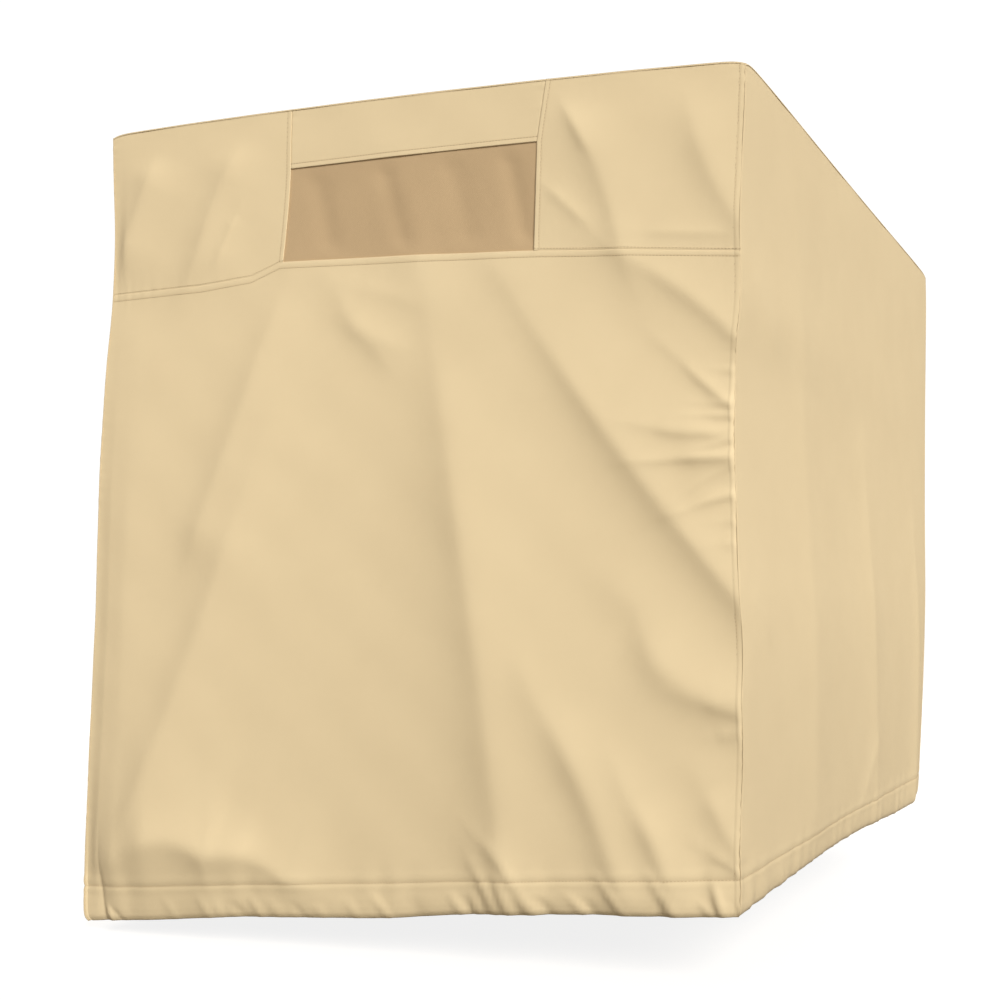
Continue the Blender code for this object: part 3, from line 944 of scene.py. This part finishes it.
def make_sheet(
    name: str,
    grid: np.ndarray,
    thickness: float,
    material: bpy.types.Material,
    shade: Optional[np.ndarray] = None,
) -> bpy.types.Object:
    """Turn a grid of points into a thin sheet of cloth with a map in metres.

    Args:
        name: The piece's name.
        grid: Points of the outer face, in rows.
        thickness: The cloth's thickness, laid inwards.
        material: The finish.
        shade: How much painted shade each point takes along the seams and sewn rows, from 0 to 1.

    Returns:
        The new object.
    """
    rows, columns = grid.shape[:2]
    index = np.arange(rows * columns).reshape(rows, columns)
    corners = [index[:-1, :-1], index[:-1, 1:], index[1:, 1:], index[1:, :-1]]
    faces = np.stack(corners, axis=-1).reshape(-1, 4)
    mesh = bpy.data.meshes.new(name)
    mesh.from_pydata(grid.reshape(-1, 3).tolist(), [], faces.tolist())
    wide = np.cumsum(np.linalg.norm(np.diff(grid, axis=1, prepend=grid[:, :1]), axis=2), axis=1)
    tall = np.cumsum(np.linalg.norm(np.diff(grid, axis=0, prepend=grid[:1]), axis=2), axis=0)
    chart = np.stack([wide - wide.mean(axis=0)[-1] / 2, tall], axis=-1).reshape(-1, 2)
    layer = mesh.uv_layers.new(name="Cloth")
    layer.data.foreach_set("uv", chart[faces.reshape(-1)].astype(np.float32).reshape(-1))
    # painted shade along the seams and sewn rows, stored on the points
    dark = mesh.attributes.new("Seam", "FLOAT", "POINT")
    levels = np.zeros(rows * columns) if shade is None else shade.reshape(-1)
    dark.data.foreach_set("value", levels.astype(np.float32))
    mesh.shade_smooth()
    mesh.materials.append(material)
    piece = bpy.data.objects.new(name, mesh)
    bpy.context.scene.collection.objects.link(piece)
    thicken = piece.modifiers.new("Cloth", "SOLIDIFY")
    thicken.thickness = thickness
    thicken.offset = -1.0
    return piece


@dataclass
class TopPanel:
    """The flat top, spanned between the four walls and rolled over their edges."""

    name: str = "top_panel_cloth"
    nodes: tuple[str, ...] = ("top_panel",)
    flat: tuple[float, float] = (0.93, 1.03)
    thickness: float = 0.0012
    step: float = 0.008
    fine: float = 0.0013
    fine_reach: float = 0.0100
    groove: float = 0.5 * MM
    groove_half: float = 1.2 * MM
    roll_reach: float = 0.05
    slack: float = 1.2 * MM
    slack_reach: float = 0.08
    ripple: float = 0.4
    ripple_turns: float = 21.0
    form: CoverForm = CoverForm()

    def edge(self, side: Side, shares: np.ndarray) -> np.ndarray:
        """Find a wall's upper edge, at the cloth's outer face.

        Args:
            side: The wall.
            shares: Places from the edge's left corner seam to its right one.

        Returns:
            The edge's points.
        """
        top = np.full_like(shares, self.form.rim)
        first = (self.form.seam_inset - self.form.cloth) / self.form.run(side, top)
        edge = self.form.wall_points(side, top, first + (1.0 - 2.0 * first) * shares)
        return edge + self.form.cloth * np.array(WALLS[side].outward)

    def grid(self) -> np.ndarray:
        """Span the outer face between the four edges.

        Returns:
            Rows of points from the front to the back.
        """
        across = spacing(self.form.width, self.step, self.fine, self.fine_reach)
        back = spacing(self.form.depth, self.step, self.fine, self.fine_reach)
        u, v = across[None, :, None], back[:, None, None]
        front_edge, right_edge = self.edge(Side.FRONT, across), self.edge(Side.RIGHT, back)
        back_edge, left_edge = self.edge(Side.BACK, 1.0 - across), self.edge(Side.LEFT, 1.0 - back)
        grid = (1 - v) * front_edge[None] + v * back_edge[None]
        grid = grid + (1 - u) * left_edge[:, None] + u * right_edge[:, None]
        grid = grid - (1 - u) * (1 - v) * front_edge[0] - u * (1 - v) * front_edge[-1]
        grid = grid - (1 - u) * v * back_edge[0] - u * v * back_edge[-1]
        wide = np.minimum(across, 1.0 - across)[None, :] * self.form.width
        deep = np.minimum(back, 1.0 - back)[:, None] * self.form.depth
        away = np.minimum(wide, deep)
        drawn = self.form.seam_inset - self.form.settle - self.form.inset(away)
        grid[..., 2] += drawn - self.form.rim_lift * smooth(away / self.roll_reach)
        x, y = grid[..., 0], grid[..., 1]
        slack = dapple(x, y, TOP_WAVES) + self.ripple * np.sin(self.ripple_turns * (x + y))
        grid[..., 2] += self.slack * slack * smooth(away / self.slack_reach)
        grid[..., 2] -= self.groove * np.exp(-((away / self.groove_half) ** 2))
        return lifted(grid, self.form.cloth)

    def build(self, material: bpy.types.Material) -> bpy.types.Object:
        """Make the top as a thin sheet that stands for its solid."""
        return make_sheet(self.name, self.grid(), self.thickness, material)


@dataclass
class WindowScreen:
    """The darker screen cloth sewn in behind the window's opening."""

    name: str = "window_screen_cloth"
    nodes: tuple[str, ...] = ("window_screen",)
    flat: tuple[float, float] = (0.392, 0.172)
    overlap: float = 0.012
    thickness: float = 0.0008
    rows: int = 60
    columns: int = 120
    pulls: tuple[Pucker, ...] = (
        Pucker(-128, 34, 17, -1.6),
        Pucker(-26, 40, 16, -2.0),
        Pucker(70, 36, 18, -1.4),
        Pucker(150, 30, 14, -2.0),
    )
    hold: float = 0.20
    forward: float = 0.75 * MM
    form: CoverForm = CoverForm()

    def grid(self) -> np.ndarray:
        """Lay the screen out just behind the canvas, with its soft pulls.

        Returns:
            Rows of points from the lower edge up.
        """
        margin = self.overlap / self.form.height
        rows = np.linspace(self.form.band - margin, self.form.lintel + margin, self.rows)
        share, part = np.meshgrid(rows, np.linspace(0.0, 1.0, self.columns), indexing="ij")
        beyond = self.overlap / self.form.run(Side.FRONT, share)
        left = self.form.window_seam(WINDOW_LEFT, share) - beyond
        right = self.form.window_seam(WINDOW_RIGHT, share) + beyond
        points = self.form.wall_points(Side.FRONT, share, left + (right - left) * part)
        down = (self.form.lintel - share) / (self.form.lintel - self.form.band)
        free = smooth(np.minimum(down, 1.0 - down) / self.hold)
        for pull in self.pulls:
            middle = (pull.across + pull.lean * down) * MM
            bump = np.exp(-(((points[..., 0] - middle) / (pull.half * MM)) ** 2))
            points[..., 1] -= pull.rise * MM * bump * free
        points[..., 1] -= self.forward
        return points

    def build(self, material: bpy.types.Material) -> bpy.types.Object:
        """Make the screen as a thin sheet that stands for its solid."""
        return make_sheet(self.name, self.grid(), self.thickness, material)


@dataclass
class StitchRows:
    """Rows of thread stitches along the seams, laid by one node tree."""

    pitch: float = 0.0042
    length: float = 0.0030
    radius: float = 0.00032
    segments: int = 6
    rings: int = 4

    def tree(self, material: bpy.types.Material) -> bpy.types.NodeTree:
        """Build the node tree that lays stitches along the given lines.

        Args:
            material: The thread's finish.

        Returns:
            The tree.
        """
        tree = bpy.data.node_groups.new("Stitch Rows", "GeometryNodeTree")
        face = tree.interface
        face.new_socket("Lines", in_out="INPUT", socket_type="NodeSocketGeometry")
        for label in ("Pitch", "Length", "Radius"):
            face.new_socket(label, in_out="INPUT", socket_type="NodeSocketFloat")
        face.new_socket("Stitches", in_out="OUTPUT", socket_type="NodeSocketGeometry")
        node = tree.nodes.new
        entry, leave = node("NodeGroupInput"), node("NodeGroupOutput")
        curve, spaced = node("GeometryNodeMeshToCurve"), node("GeometryNodeResampleCurve")
        spaced.mode = "LENGTH"
        bead = node("GeometryNodeMeshUVSphere")
        bead.inputs["Segments"].default_value = self.segments
        bead.inputs["Rings"].default_value = self.rings
        bead.inputs["Radius"].default_value = 1.0
        size, half = node("ShaderNodeCombineXYZ"), node("ShaderNodeMath")
        half.operation = "MULTIPLY"
        half.inputs[1].default_value = 0.5
        tangent, turn = node("GeometryNodeInputTangent"), node("FunctionNodeAlignRotationToVector")
        turn.axis = "Z"
        place, real = node("GeometryNodeInstanceOnPoints"), node("GeometryNodeRealizeInstances")
        shade, dress = node("GeometryNodeSetShadeSmooth"), node("GeometryNodeSetMaterial")
        dress.inputs["Material"].default_value = material
        link = tree.links.new
        link(entry.outputs["Lines"], curve.inputs["Mesh"])
        link(curve.outputs["Curve"], spaced.inputs["Curve"])
        link(entry.outputs["Pitch"], spaced.inputs["Length"])
        link(entry.outputs["Length"], half.inputs[0])
        link(entry.outputs["Radius"], size.inputs["X"])
        link(entry.outputs["Radius"], size.inputs["Y"])
        link(half.outputs[0], size.inputs["Z"])
        link(tangent.outputs["Tangent"], turn.inputs["Vector"])
        link(spaced.outputs["Curve"], place.inputs["Points"])
        link(bead.outputs["Mesh"], place.inputs["Instance"])
        link(turn.outputs["Rotation"], place.inputs["Rotation"])
        link(size.outputs["Vector"], place.inputs["Scale"])
        link(place.outputs["Instances"], real.inputs["Geometry"])
        link(real.outputs["Geometry"], shade.inputs["Geometry"])
        link(shade.outputs["Geometry"], dress.inputs["Geometry"])
        link(dress.outputs["Geometry"], leave.inputs["Stitches"])
        return tree

    def build(self, name: str, lines: Sequence[np.ndarray], tree: bpy.types.NodeTree) -> bpy.types.Object:
        """Sew stitches along lines.

        Args:
            name: The piece's name.
            lines: Each line's points.
            tree: The node tree that lays them.

        Returns:
            The stitches as one plain mesh.
        """
        points, edges = [], []
        for line in lines:
            first = len(points)
            points += line.tolist()
            edges += [(first + i, first + i + 1) for i in range(len(line) - 1)]
        path = bpy.data.meshes.new(name + "_lines")
        path.from_pydata(points, edges, [])
        guide = bpy.data.objects.new(name + "_lines", path)
        bpy.context.scene.collection.objects.link(guide)
        sew = guide.modifiers.new("Stitches", "NODES")
        sew.node_group = tree
        sizes = {"Pitch": self.pitch, "Length": self.length, "Radius": self.radius}
        for item in tree.interface.items_tree:
            if item.item_type == "SOCKET" and item.in_out == "INPUT" and item.name in sizes:
                sew[item.identifier] = sizes[item.name]
        sewn = guide.evaluated_get(bpy.context.evaluated_depsgraph_get())
        mesh = bpy.data.meshes.new_from_object(sewn)
        mesh.name = name
        piece = bpy.data.objects.new(name, mesh)
        bpy.context.scene.collection.objects.link(piece)
        guide.modifiers.remove(sew)
        bpy.data.objects.remove(guide, do_unlink=True)
        return piece


class Nodes:
    """A small helper that adds shader nodes to one material and links them."""

    def __init__(self, name: str) -> None:
        """Start a material with its shader."""
        self.material = bpy.data.materials.new(name)
        self.material.use_nodes = True
        self.tree = self.material.node_tree
        self.shader = self.tree.nodes["Principled BSDF"]

    def add(self, kind: str, **fields: object) -> bpy.types.Node:
        """Add a node.

        Args:
            kind: The node's type.
            fields: The node's own fields, by name.

        Returns:
            The new node.
        """
        node = self.tree.nodes.new(kind)
        for key, value in fields.items():
            setattr(node, key, value)
        return node

    def link(self, start: bpy.types.NodeSocket, end: bpy.types.NodeSocket) -> None:
        """Link two sockets."""
        self.tree.links.new(start, end)

    def math(self, operation: str, first: object, second: object = None) -> bpy.types.NodeSocket:
        """Add a math node on sockets or numbers.

        Args:
            operation: The node's operation.
            first: A socket or a number.
            second: A socket, a number or nothing.

        Returns:
            The node's output.
        """
        node = self.add("ShaderNodeMath", operation=operation)
        for socket, value in zip(node.inputs, (first, second)):
            if isinstance(value, bpy.types.NodeSocket):
                self.link(value, socket)
            elif value is not None:
                socket.default_value = value
        return node.outputs[0]


@dataclass(frozen=True)
class WovenFinish:
    """A plain weave: two sets of threads over and under each other, with a soft unevenness of tone."""

    name: str
    tone: tuple[float, float, float]
    deep: tuple[float, float, float]
    thread: float
    height: float
    roughness: float
    sheen: float
    contrast: float
    # Painted shade along the seams and sewn rows: its strength and the colour that it multiplies in
    seam_shade: float = 0.45
    seam_shade_tone: tuple[float, float, float] = (0.45, 0.40, 0.36)
    # Painted shade towards the hem, for the light lost near the floor: its strength and the heights over
    # which it fades in
    hem_shade: float = 0.0
    hem_shade_levels: tuple[float, float] = (-0.95, -0.50)
    gloss: float = 0.15
    sheen_roughness: float = 0.5
    cloud_scale: float = 14.0
    cloud_detail: float = 5.0
    bump: float = 0.35

    def weave(self, nodes: Nodes) -> bpy.types.NodeSocket:
        """Lay warp and weft over each other by turns.

        Args:
            nodes: The finish's nodes.

        Returns:
            The threads' height, from 0 to 1.
        """
        chart = nodes.add("ShaderNodeUVMap", uv_map="Cloth")
        parts = nodes.add("ShaderNodeSeparateXYZ")
        nodes.link(chart.outputs["UV"], parts.inputs[0])
        turn = math.pi / self.thread
        warp = nodes.math("ABSOLUTE", nodes.math("SINE", nodes.math("MULTIPLY", parts.outputs["X"], turn)))
        weft = nodes.math("ABSOLUTE", nodes.math("SINE", nodes.math("MULTIPLY", parts.outputs["Y"], turn)))
        checker = nodes.add("ShaderNodeTexChecker")
        checker.inputs["Scale"].default_value = 1.0 / self.thread
        checker.inputs["Color1"].default_value = (1.0, 1.0, 1.0, 1.0)
        checker.inputs["Color2"].default_value = (0.0, 0.0, 0.0, 1.0)
        nodes.link(chart.outputs["UV"], checker.inputs["Vector"])
        over = nodes.add("ShaderNodeMix", data_type="FLOAT")
        nodes.link(checker.outputs["Fac"], over.inputs["Factor"])
        nodes.link(warp, over.inputs["A"])
        nodes.link(weft, over.inputs["B"])
        return over.outputs["Result"]

    def colour(self, nodes: Nodes, weave: bpy.types.NodeSocket) -> bpy.types.NodeSocket:
        """Mix the cloth's tones, with painted shade along the seams and sewn rows and painted shade towards
        the hem.

        Args:
            nodes: The finish's nodes.
            weave: The threads' height.

        Returns:
            The colour.
        """
        place = nodes.add("ShaderNodeTexCoord")
        cloud = nodes.add("ShaderNodeTexNoise")
        cloud.inputs["Scale"].default_value = self.cloud_scale
        cloud.inputs["Detail"].default_value = self.cloud_detail
        nodes.link(place.outputs["Object"], cloud.inputs["Vector"])
        mix = nodes.add("ShaderNodeMix", data_type="RGBA")
        mix.inputs["A"].default_value = (*self.deep, 1.0)
        mix.inputs["B"].default_value = (*self.tone, 1.0)
        soft = nodes.math("MULTIPLY", cloud.outputs["Fac"], 1.0 - self.contrast)
        sharp = nodes.math("MULTIPLY", weave, self.contrast)
        nodes.link(nodes.math("ADD", soft, sharp), mix.inputs["Factor"])
        # painted shade along the seams and sewn rows, read from the points' attribute
        seam = nodes.add("ShaderNodeAttribute", attribute_name="Seam")
        sewn = nodes.add("ShaderNodeMix", data_type="RGBA", blend_type="MULTIPLY")
        nodes.link(nodes.math("MULTIPLY", seam.outputs["Fac"], self.seam_shade), sewn.inputs["Factor"])
        nodes.link(mix.outputs["Result"], sewn.inputs["A"])
        sewn.inputs["B"].default_value = (*self.seam_shade_tone, 1.0)
        # painted shade towards the hem, growing as the height falls
        level = nodes.add("ShaderNodeSeparateXYZ")
        nodes.link(place.outputs["Object"], level.inputs[0])
        low = nodes.add("ShaderNodeMapRange", interpolation_type="SMOOTHSTEP")
        nodes.link(level.outputs["Z"], low.inputs["Value"])
        ends = (*self.hem_shade_levels, self.hem_shade, 0.0)
        for label, value in zip(("From Min", "From Max", "To Min", "To Max"), ends):
            low.inputs[label].default_value = value
        hem_shaded = nodes.add("ShaderNodeMix", data_type="RGBA", blend_type="MULTIPLY")
        nodes.link(low.outputs["Result"], hem_shaded.inputs["Factor"])
        nodes.link(sewn.outputs["Result"], hem_shaded.inputs["A"])
        hem_shaded.inputs["B"].default_value = (0.0, 0.0, 0.0, 1.0)
        return hem_shaded.outputs["Result"]

    def material(self) -> bpy.types.Material:
        """Build the finish.

        Returns:
            The material.
        """
        nodes = Nodes(self.name)
        shader = nodes.shader
        shader.inputs["Roughness"].default_value = self.roughness
        shader.inputs["Specular IOR Level"].default_value = self.gloss
        shader.inputs["Sheen Weight"].default_value = self.sheen
        shader.inputs["Sheen Roughness"].default_value = self.sheen_roughness
        weave = self.weave(nodes)
        nodes.link(self.colour(nodes, weave), shader.inputs["Base Color"])
        bump = nodes.add("ShaderNodeBump")
        bump.inputs["Strength"].default_value = self.bump
        bump.inputs["Distance"].default_value = self.height
        nodes.link(weave, bump.inputs["Height"])
        nodes.link(bump.outputs["Normal"], shader.inputs["Normal"])
        return nodes.material


@dataclass(frozen=True)
class ThreadFinish:
    """Sewing thread, a little darker than the canvas."""

    name: str = "sewing_thread"
    tone: tuple[float, float, float] = (0.56, 0.42, 0.245)
    deep_share: float = 0.85
    roughness: float = 0.7
    grain_scale: float = 900.0

    def material(self) -> bpy.types.Material:
        """Build the finish.

        Returns:
            The material.
        """
        nodes = Nodes(self.name)
        nodes.shader.inputs["Roughness"].default_value = self.roughness
        place = nodes.add("ShaderNodeTexCoord")
        grain = nodes.add("ShaderNodeTexNoise")
        grain.inputs["Scale"].default_value = self.grain_scale
        nodes.link(place.outputs["Object"], grain.inputs["Vector"])
        mix = nodes.add("ShaderNodeMix", data_type="RGBA")
        mix.inputs["A"].default_value = (*[part * self.deep_share for part in self.tone], 1.0)
        mix.inputs["B"].default_value = (*self.tone, 1.0)
        nodes.link(grain.outputs["Fac"], mix.inputs["Factor"])
        nodes.link(mix.outputs["Result"], nodes.shader.inputs["Base Color"])
        return nodes.material


# The canvas takes painted shade towards its hem.
CANVAS = WovenFinish(
    name="sand_canvas", tone=(0.81, 0.654, 0.402), deep=(0.75, 0.598, 0.361), thread=0.0007, height=0.0002,
    roughness=0.78, sheen=0.04, contrast=0.25, hem_shade=0.06,
)
SCREEN = WovenFinish(
    name="tan_screen", tone=(0.595, 0.424, 0.238), deep=(0.488, 0.345, 0.191), thread=0.0013, height=0.0004,
    roughness=0.85, sheen=0.05, contrast=0.45,
)


@dataclass(frozen=True)
class Lamp:
    """One square lamp, which faces the cover's middle."""

    name: str
    place: tuple[float, float, float]
    size: float
    power: float
    aim: tuple[float, float, float] = (0.0, 0.0, -0.5)

    def hang(self) -> None:
        """Hang the lamp."""
        data = bpy.data.lights.new(self.name, "AREA")
        data.size = self.size
        data.energy = self.power
        lamp = bpy.data.objects.new(self.name, data)
        lamp.location = self.place
        lamp.rotation_euler = (Vector(self.aim) - Vector(self.place)).to_track_quat("-Z", "Y").to_euler()
        bpy.context.scene.collection.objects.link(lamp)


@dataclass
class Studio:
    """Camera, soft light and a pale floor."""

    camera_place: tuple[float, float, float] = (0.9416, -2.0716, -0.6175)
    right: tuple[float, float, float] = (0.92522, 0.37940, -0.00393)
    down: tuple[float, float, float] = (-0.02472, 0.04995, -0.99845)
    forward: tuple[float, float, float] = (-0.37862, 0.92388, 0.05559)
    lens: float = 52.254
    sensor: float = 36.0
    shift: tuple[float, float] = (-0.12, 0.0157)
    key_power: float = 3.56
    key_angle: float = 28.0
    key_from: tuple[float, float, float] = (1.09, -1.0, 0.85)
    lamps: tuple[Lamp, ...] = (
        Lamp("fill", (-3.2, -2.4, 1.0), size=3.0, power=12.0),
        Lamp("back_light", (-1.8, 3.6, 0.6), size=3.0, power=110.0),
    )
    ambient: float = 0.30
    ambient_tone: tuple[float, float, float] = (1.0, 0.91, 0.81)
    backdrop_glow: float = 1.05
    floor_height: float = -1.062
    floor_half: float = 14.0
    floor_glow: float = 0.85
    floor_tone: tuple[float, float, float] = (0.24, 0.22, 0.19)
    floor_roughness: float = 0.95

    def camera(self) -> None:
        """Set the camera at the photograph's place."""
        data = bpy.data.cameras.new("camera")
        data.lens = self.lens
        data.sensor_width = self.sensor
        data.shift_x, data.shift_y = self.shift
        view = bpy.data.objects.new("camera", data)
        turn = Matrix([self.right, [-v for v in self.down], [-v for v in self.forward]]).transposed()
        view.matrix_world = Matrix.Translation(self.camera_place) @ turn.to_4x4()
        bpy.context.scene.collection.objects.link(view)
        bpy.context.scene.camera = view

    def key(self) -> None:
        """Set the main light, broad and far away, from above the cover's right front corner."""
        data = bpy.data.lights.new("key", "SUN")
        data.energy = self.key_power
        data.angle = math.radians(self.key_angle)
        lamp = bpy.data.objects.new("key", data)
        lamp.rotation_euler = (-Vector(self.key_from)).to_track_quat("-Z", "Y").to_euler()
        bpy.context.scene.collection.objects.link(lamp)

    def room(self) -> None:
        """Set the room's even light, behind which the camera sees a plain white ground."""
        world = bpy.data.worlds.new("room")
        world.use_nodes = True
        tree = world.node_tree
        even = tree.nodes["Background"]
        even.inputs["Color"].default_value = (*self.ambient_tone, 1.0)
        even.inputs["Strength"].default_value = self.ambient
        ground = tree.nodes.new("ShaderNodeBackground")
        ground.inputs["Color"].default_value = (1.0, 1.0, 1.0, 1.0)
        ground.inputs["Strength"].default_value = self.backdrop_glow
        seen = tree.nodes.new("ShaderNodeLightPath")
        mix = tree.nodes.new("ShaderNodeMixShader")
        tree.links.new(seen.outputs["Is Camera Ray"], mix.inputs[0])
        tree.links.new(even.outputs[0], mix.inputs[1])
        tree.links.new(ground.outputs[0], mix.inputs[2])
        tree.links.new(mix.outputs[0], tree.nodes["World Output"].inputs["Surface"])
        bpy.context.scene.world = world
        bpy.context.scene.view_settings.view_transform = "Standard"

    def floor(self) -> None:
        """Lay the plain pale floor below the hem."""
        nodes = Nodes("pale_floor")
        nodes.shader.inputs["Base Color"].default_value = (*self.floor_tone, 1.0)
        nodes.shader.inputs["Roughness"].default_value = self.floor_roughness
        nodes.shader.inputs["Emission Color"].default_value = (1.0, 1.0, 1.0, 1.0)
        seen = nodes.add("ShaderNodeLightPath")
        glow = nodes.math("MULTIPLY", seen.outputs["Is Camera Ray"], self.floor_glow)
        nodes.link(glow, nodes.shader.inputs["Emission Strength"])
        half = self.floor_half
        corners = [(-half, -half, 0.0), (half, -half, 0.0), (half, half, 0.0), (-half, half, 0.0)]
        mesh = bpy.data.meshes.new("floor")
        mesh.from_pydata(corners, [], [(0, 1, 2, 3)])
        mesh.materials.append(nodes.material)
        floor = bpy.data.objects.new("floor", mesh)
        floor.location = (0.0, 0.0, self.floor_height)
        bpy.context.scene.collection.objects.link(floor)

    def build(self) -> None:
        """Set camera, lights, room and floor."""
        self.camera()
        self.key()
        for lamp in self.lamps:
            lamp.hang()
        self.room()
        self.floor()


@dataclass
class CoolerCover:
    """The whole cover: eight canvas panels, the screen and the sewing."""

    form: CoverForm = CoverForm()
    relief: SeamRelief = SeamRelief()
    front_lap: float = 0.0016
    front_step: float = 0.0032
    corner_columns: float = 0.055
    hem_rows: tuple[float, float, float] = (0.0, 0.055, 0.0018)
    crease_rows: tuple[float, float, float] = (0.44, 0.67, 0.0032)

    def panels(self) -> list[WallPanel]:
        """Cut the seven canvas panels of the walls.

        Returns:
            The four panels of the front, and the other three walls.
        """
        seam, felled, turned, hem, joined = Sewing.SEAM, Sewing.FELLED, Sewing.TURNED, Sewing.HEM, Sewing.RIM
        band, lintel = self.form.band, self.form.lintel
        rim = self.form.rim + self.form.cloth / self.form.height
        front = [
            WallPanel(
                "front_lower_cloth", ("front_lower",), Side.FRONT, 0.0, band,
                {Edge.LEFT: seam, Edge.RIGHT: felled, Edge.LOWER: hem, Edge.UPPER: felled},
                flat=(0.93, 0.82), lap=self.front_lap, close_columns=self.corner_columns,
                close_rows=(self.hem_rows, self.crease_rows),
            ),
            WallPanel(
                "front_upper_left_cloth", ("front_upper_left",), Side.FRONT, band, rim,
                {Edge.LEFT: seam, Edge.RIGHT: turned, Edge.LOWER: seam, Edge.UPPER: joined},
                flat=(0.30, 0.225), right_seam=WINDOW_LEFT, step=self.front_step, lap=self.front_lap,
            ),
            WallPanel(
                "front_upper_right_cloth", ("front_upper_right",), Side.FRONT, band, rim,
                {Edge.LEFT: turned, Edge.RIGHT: felled, Edge.LOWER: seam, Edge.UPPER: joined},
                flat=(0.26, 0.225), left_seam=WINDOW_RIGHT, step=self.front_step, lap=self.front_lap,
            ),
            WallPanel(
                "window_header_cloth", ("window_header",), Side.FRONT, lintel, rim,
                {Edge.LEFT: seam, Edge.RIGHT: seam, Edge.LOWER: turned, Edge.UPPER: joined},
                flat=(0.37, 0.075), left_seam=WINDOW_LEFT, right_seam=WINDOW_RIGHT, step=self.front_step,
            ),
        ]
        whole = {Edge.LEFT: seam, Edge.RIGHT: seam, Edge.LOWER: hem, Edge.UPPER: joined}
        others = [
            WallPanel(
                f"{node}_cloth", (node,), side, 0.0, rim, whole,
                flat=flat, step=step, close_rows=(self.hem_rows,),
            )
            for node, side, flat, step in (
                ("side_right", Side.RIGHT, (1.02, 1.0), 0.006),
                ("side_left", Side.LEFT, (1.03, 1.05), 0.007),
                ("back_panel", Side.BACK, (0.94, 1.02), 0.007),
            )
        ]
        return front + others

    def sewing_lines(self, panels: dict[str, WallPanel]) -> dict[str, list[np.ndarray]]:
        """Lay out the rows of stitches.

        Args:
            panels: The walls' panels, by name.

        Returns:
            Each panel's lines, by its name.
        """
        allowance, turned = self.relief.allowance, self.relief.turned
        edge_row, hem_row = self.relief.edge_row, self.relief.hem_row
        rows = {
            "front_lower_cloth": ((Edge.UPPER, allowance), (Edge.RIGHT, allowance), (Edge.LOWER, hem_row)),
            "front_upper_left_cloth": ((Edge.RIGHT, turned), (Edge.LOWER, edge_row)),
            "front_upper_right_cloth": ((Edge.LEFT, turned), (Edge.RIGHT, allowance), (Edge.LOWER, edge_row)),
            "window_header_cloth": ((Edge.LOWER, turned),),
        }
        hem_only = ((Edge.LOWER, hem_row),)
        return {
            name: [panel.row(edge, away) for edge, away in rows.get(name, hem_only)]
            for name, panel in panels.items()
        }

    def build(self) -> None:
        """Make every piece and stand it for its solid."""
        canvas, screen, thread = CANVAS.material(), SCREEN.material(), ThreadFinish().material()
        sewing = StitchRows()
        tree = sewing.tree(thread)
        panels = {panel.name: panel for panel in self.panels()}
        lines = self.sewing_lines(panels)
        top = TopPanel()
        top_piece = self.dress(top.build(canvas), top.nodes, "canvas")
        for name, panel in panels.items():
            piece = self.dress(panel.build(canvas), panel.nodes, "canvas")
            stitches = sewing.build(name.replace("_cloth", "_stitches"), lines[name], tree)
            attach(stitches, "root")
            faces, stitch_faces = len(piece.data.polygons), len(stitches.data.polygons)
            LOG.info("%s: %d faces, %d stitch faces", name, faces, stitch_faces)
        window = WindowScreen()
        window_piece = self.dress(window.build(screen), window.nodes, "screen")

    def dress(self, piece: bpy.types.Object, nodes: Sequence[str], slot: str) -> bpy.types.Object:
        """Let a piece stand for its solids and move with the cover.

        Args:
            piece: The piece.
            nodes: The solids that it stands for.
            slot: A material slot's name; not used.

        Returns:
            The piece.
        """
        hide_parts(*nodes)
        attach(piece, "root")
        return piece


def main() -> None:
    """Build the studio and the cover."""
    Studio().build()
    CoolerCover().build()


if __name__ == "__main__":
    main()
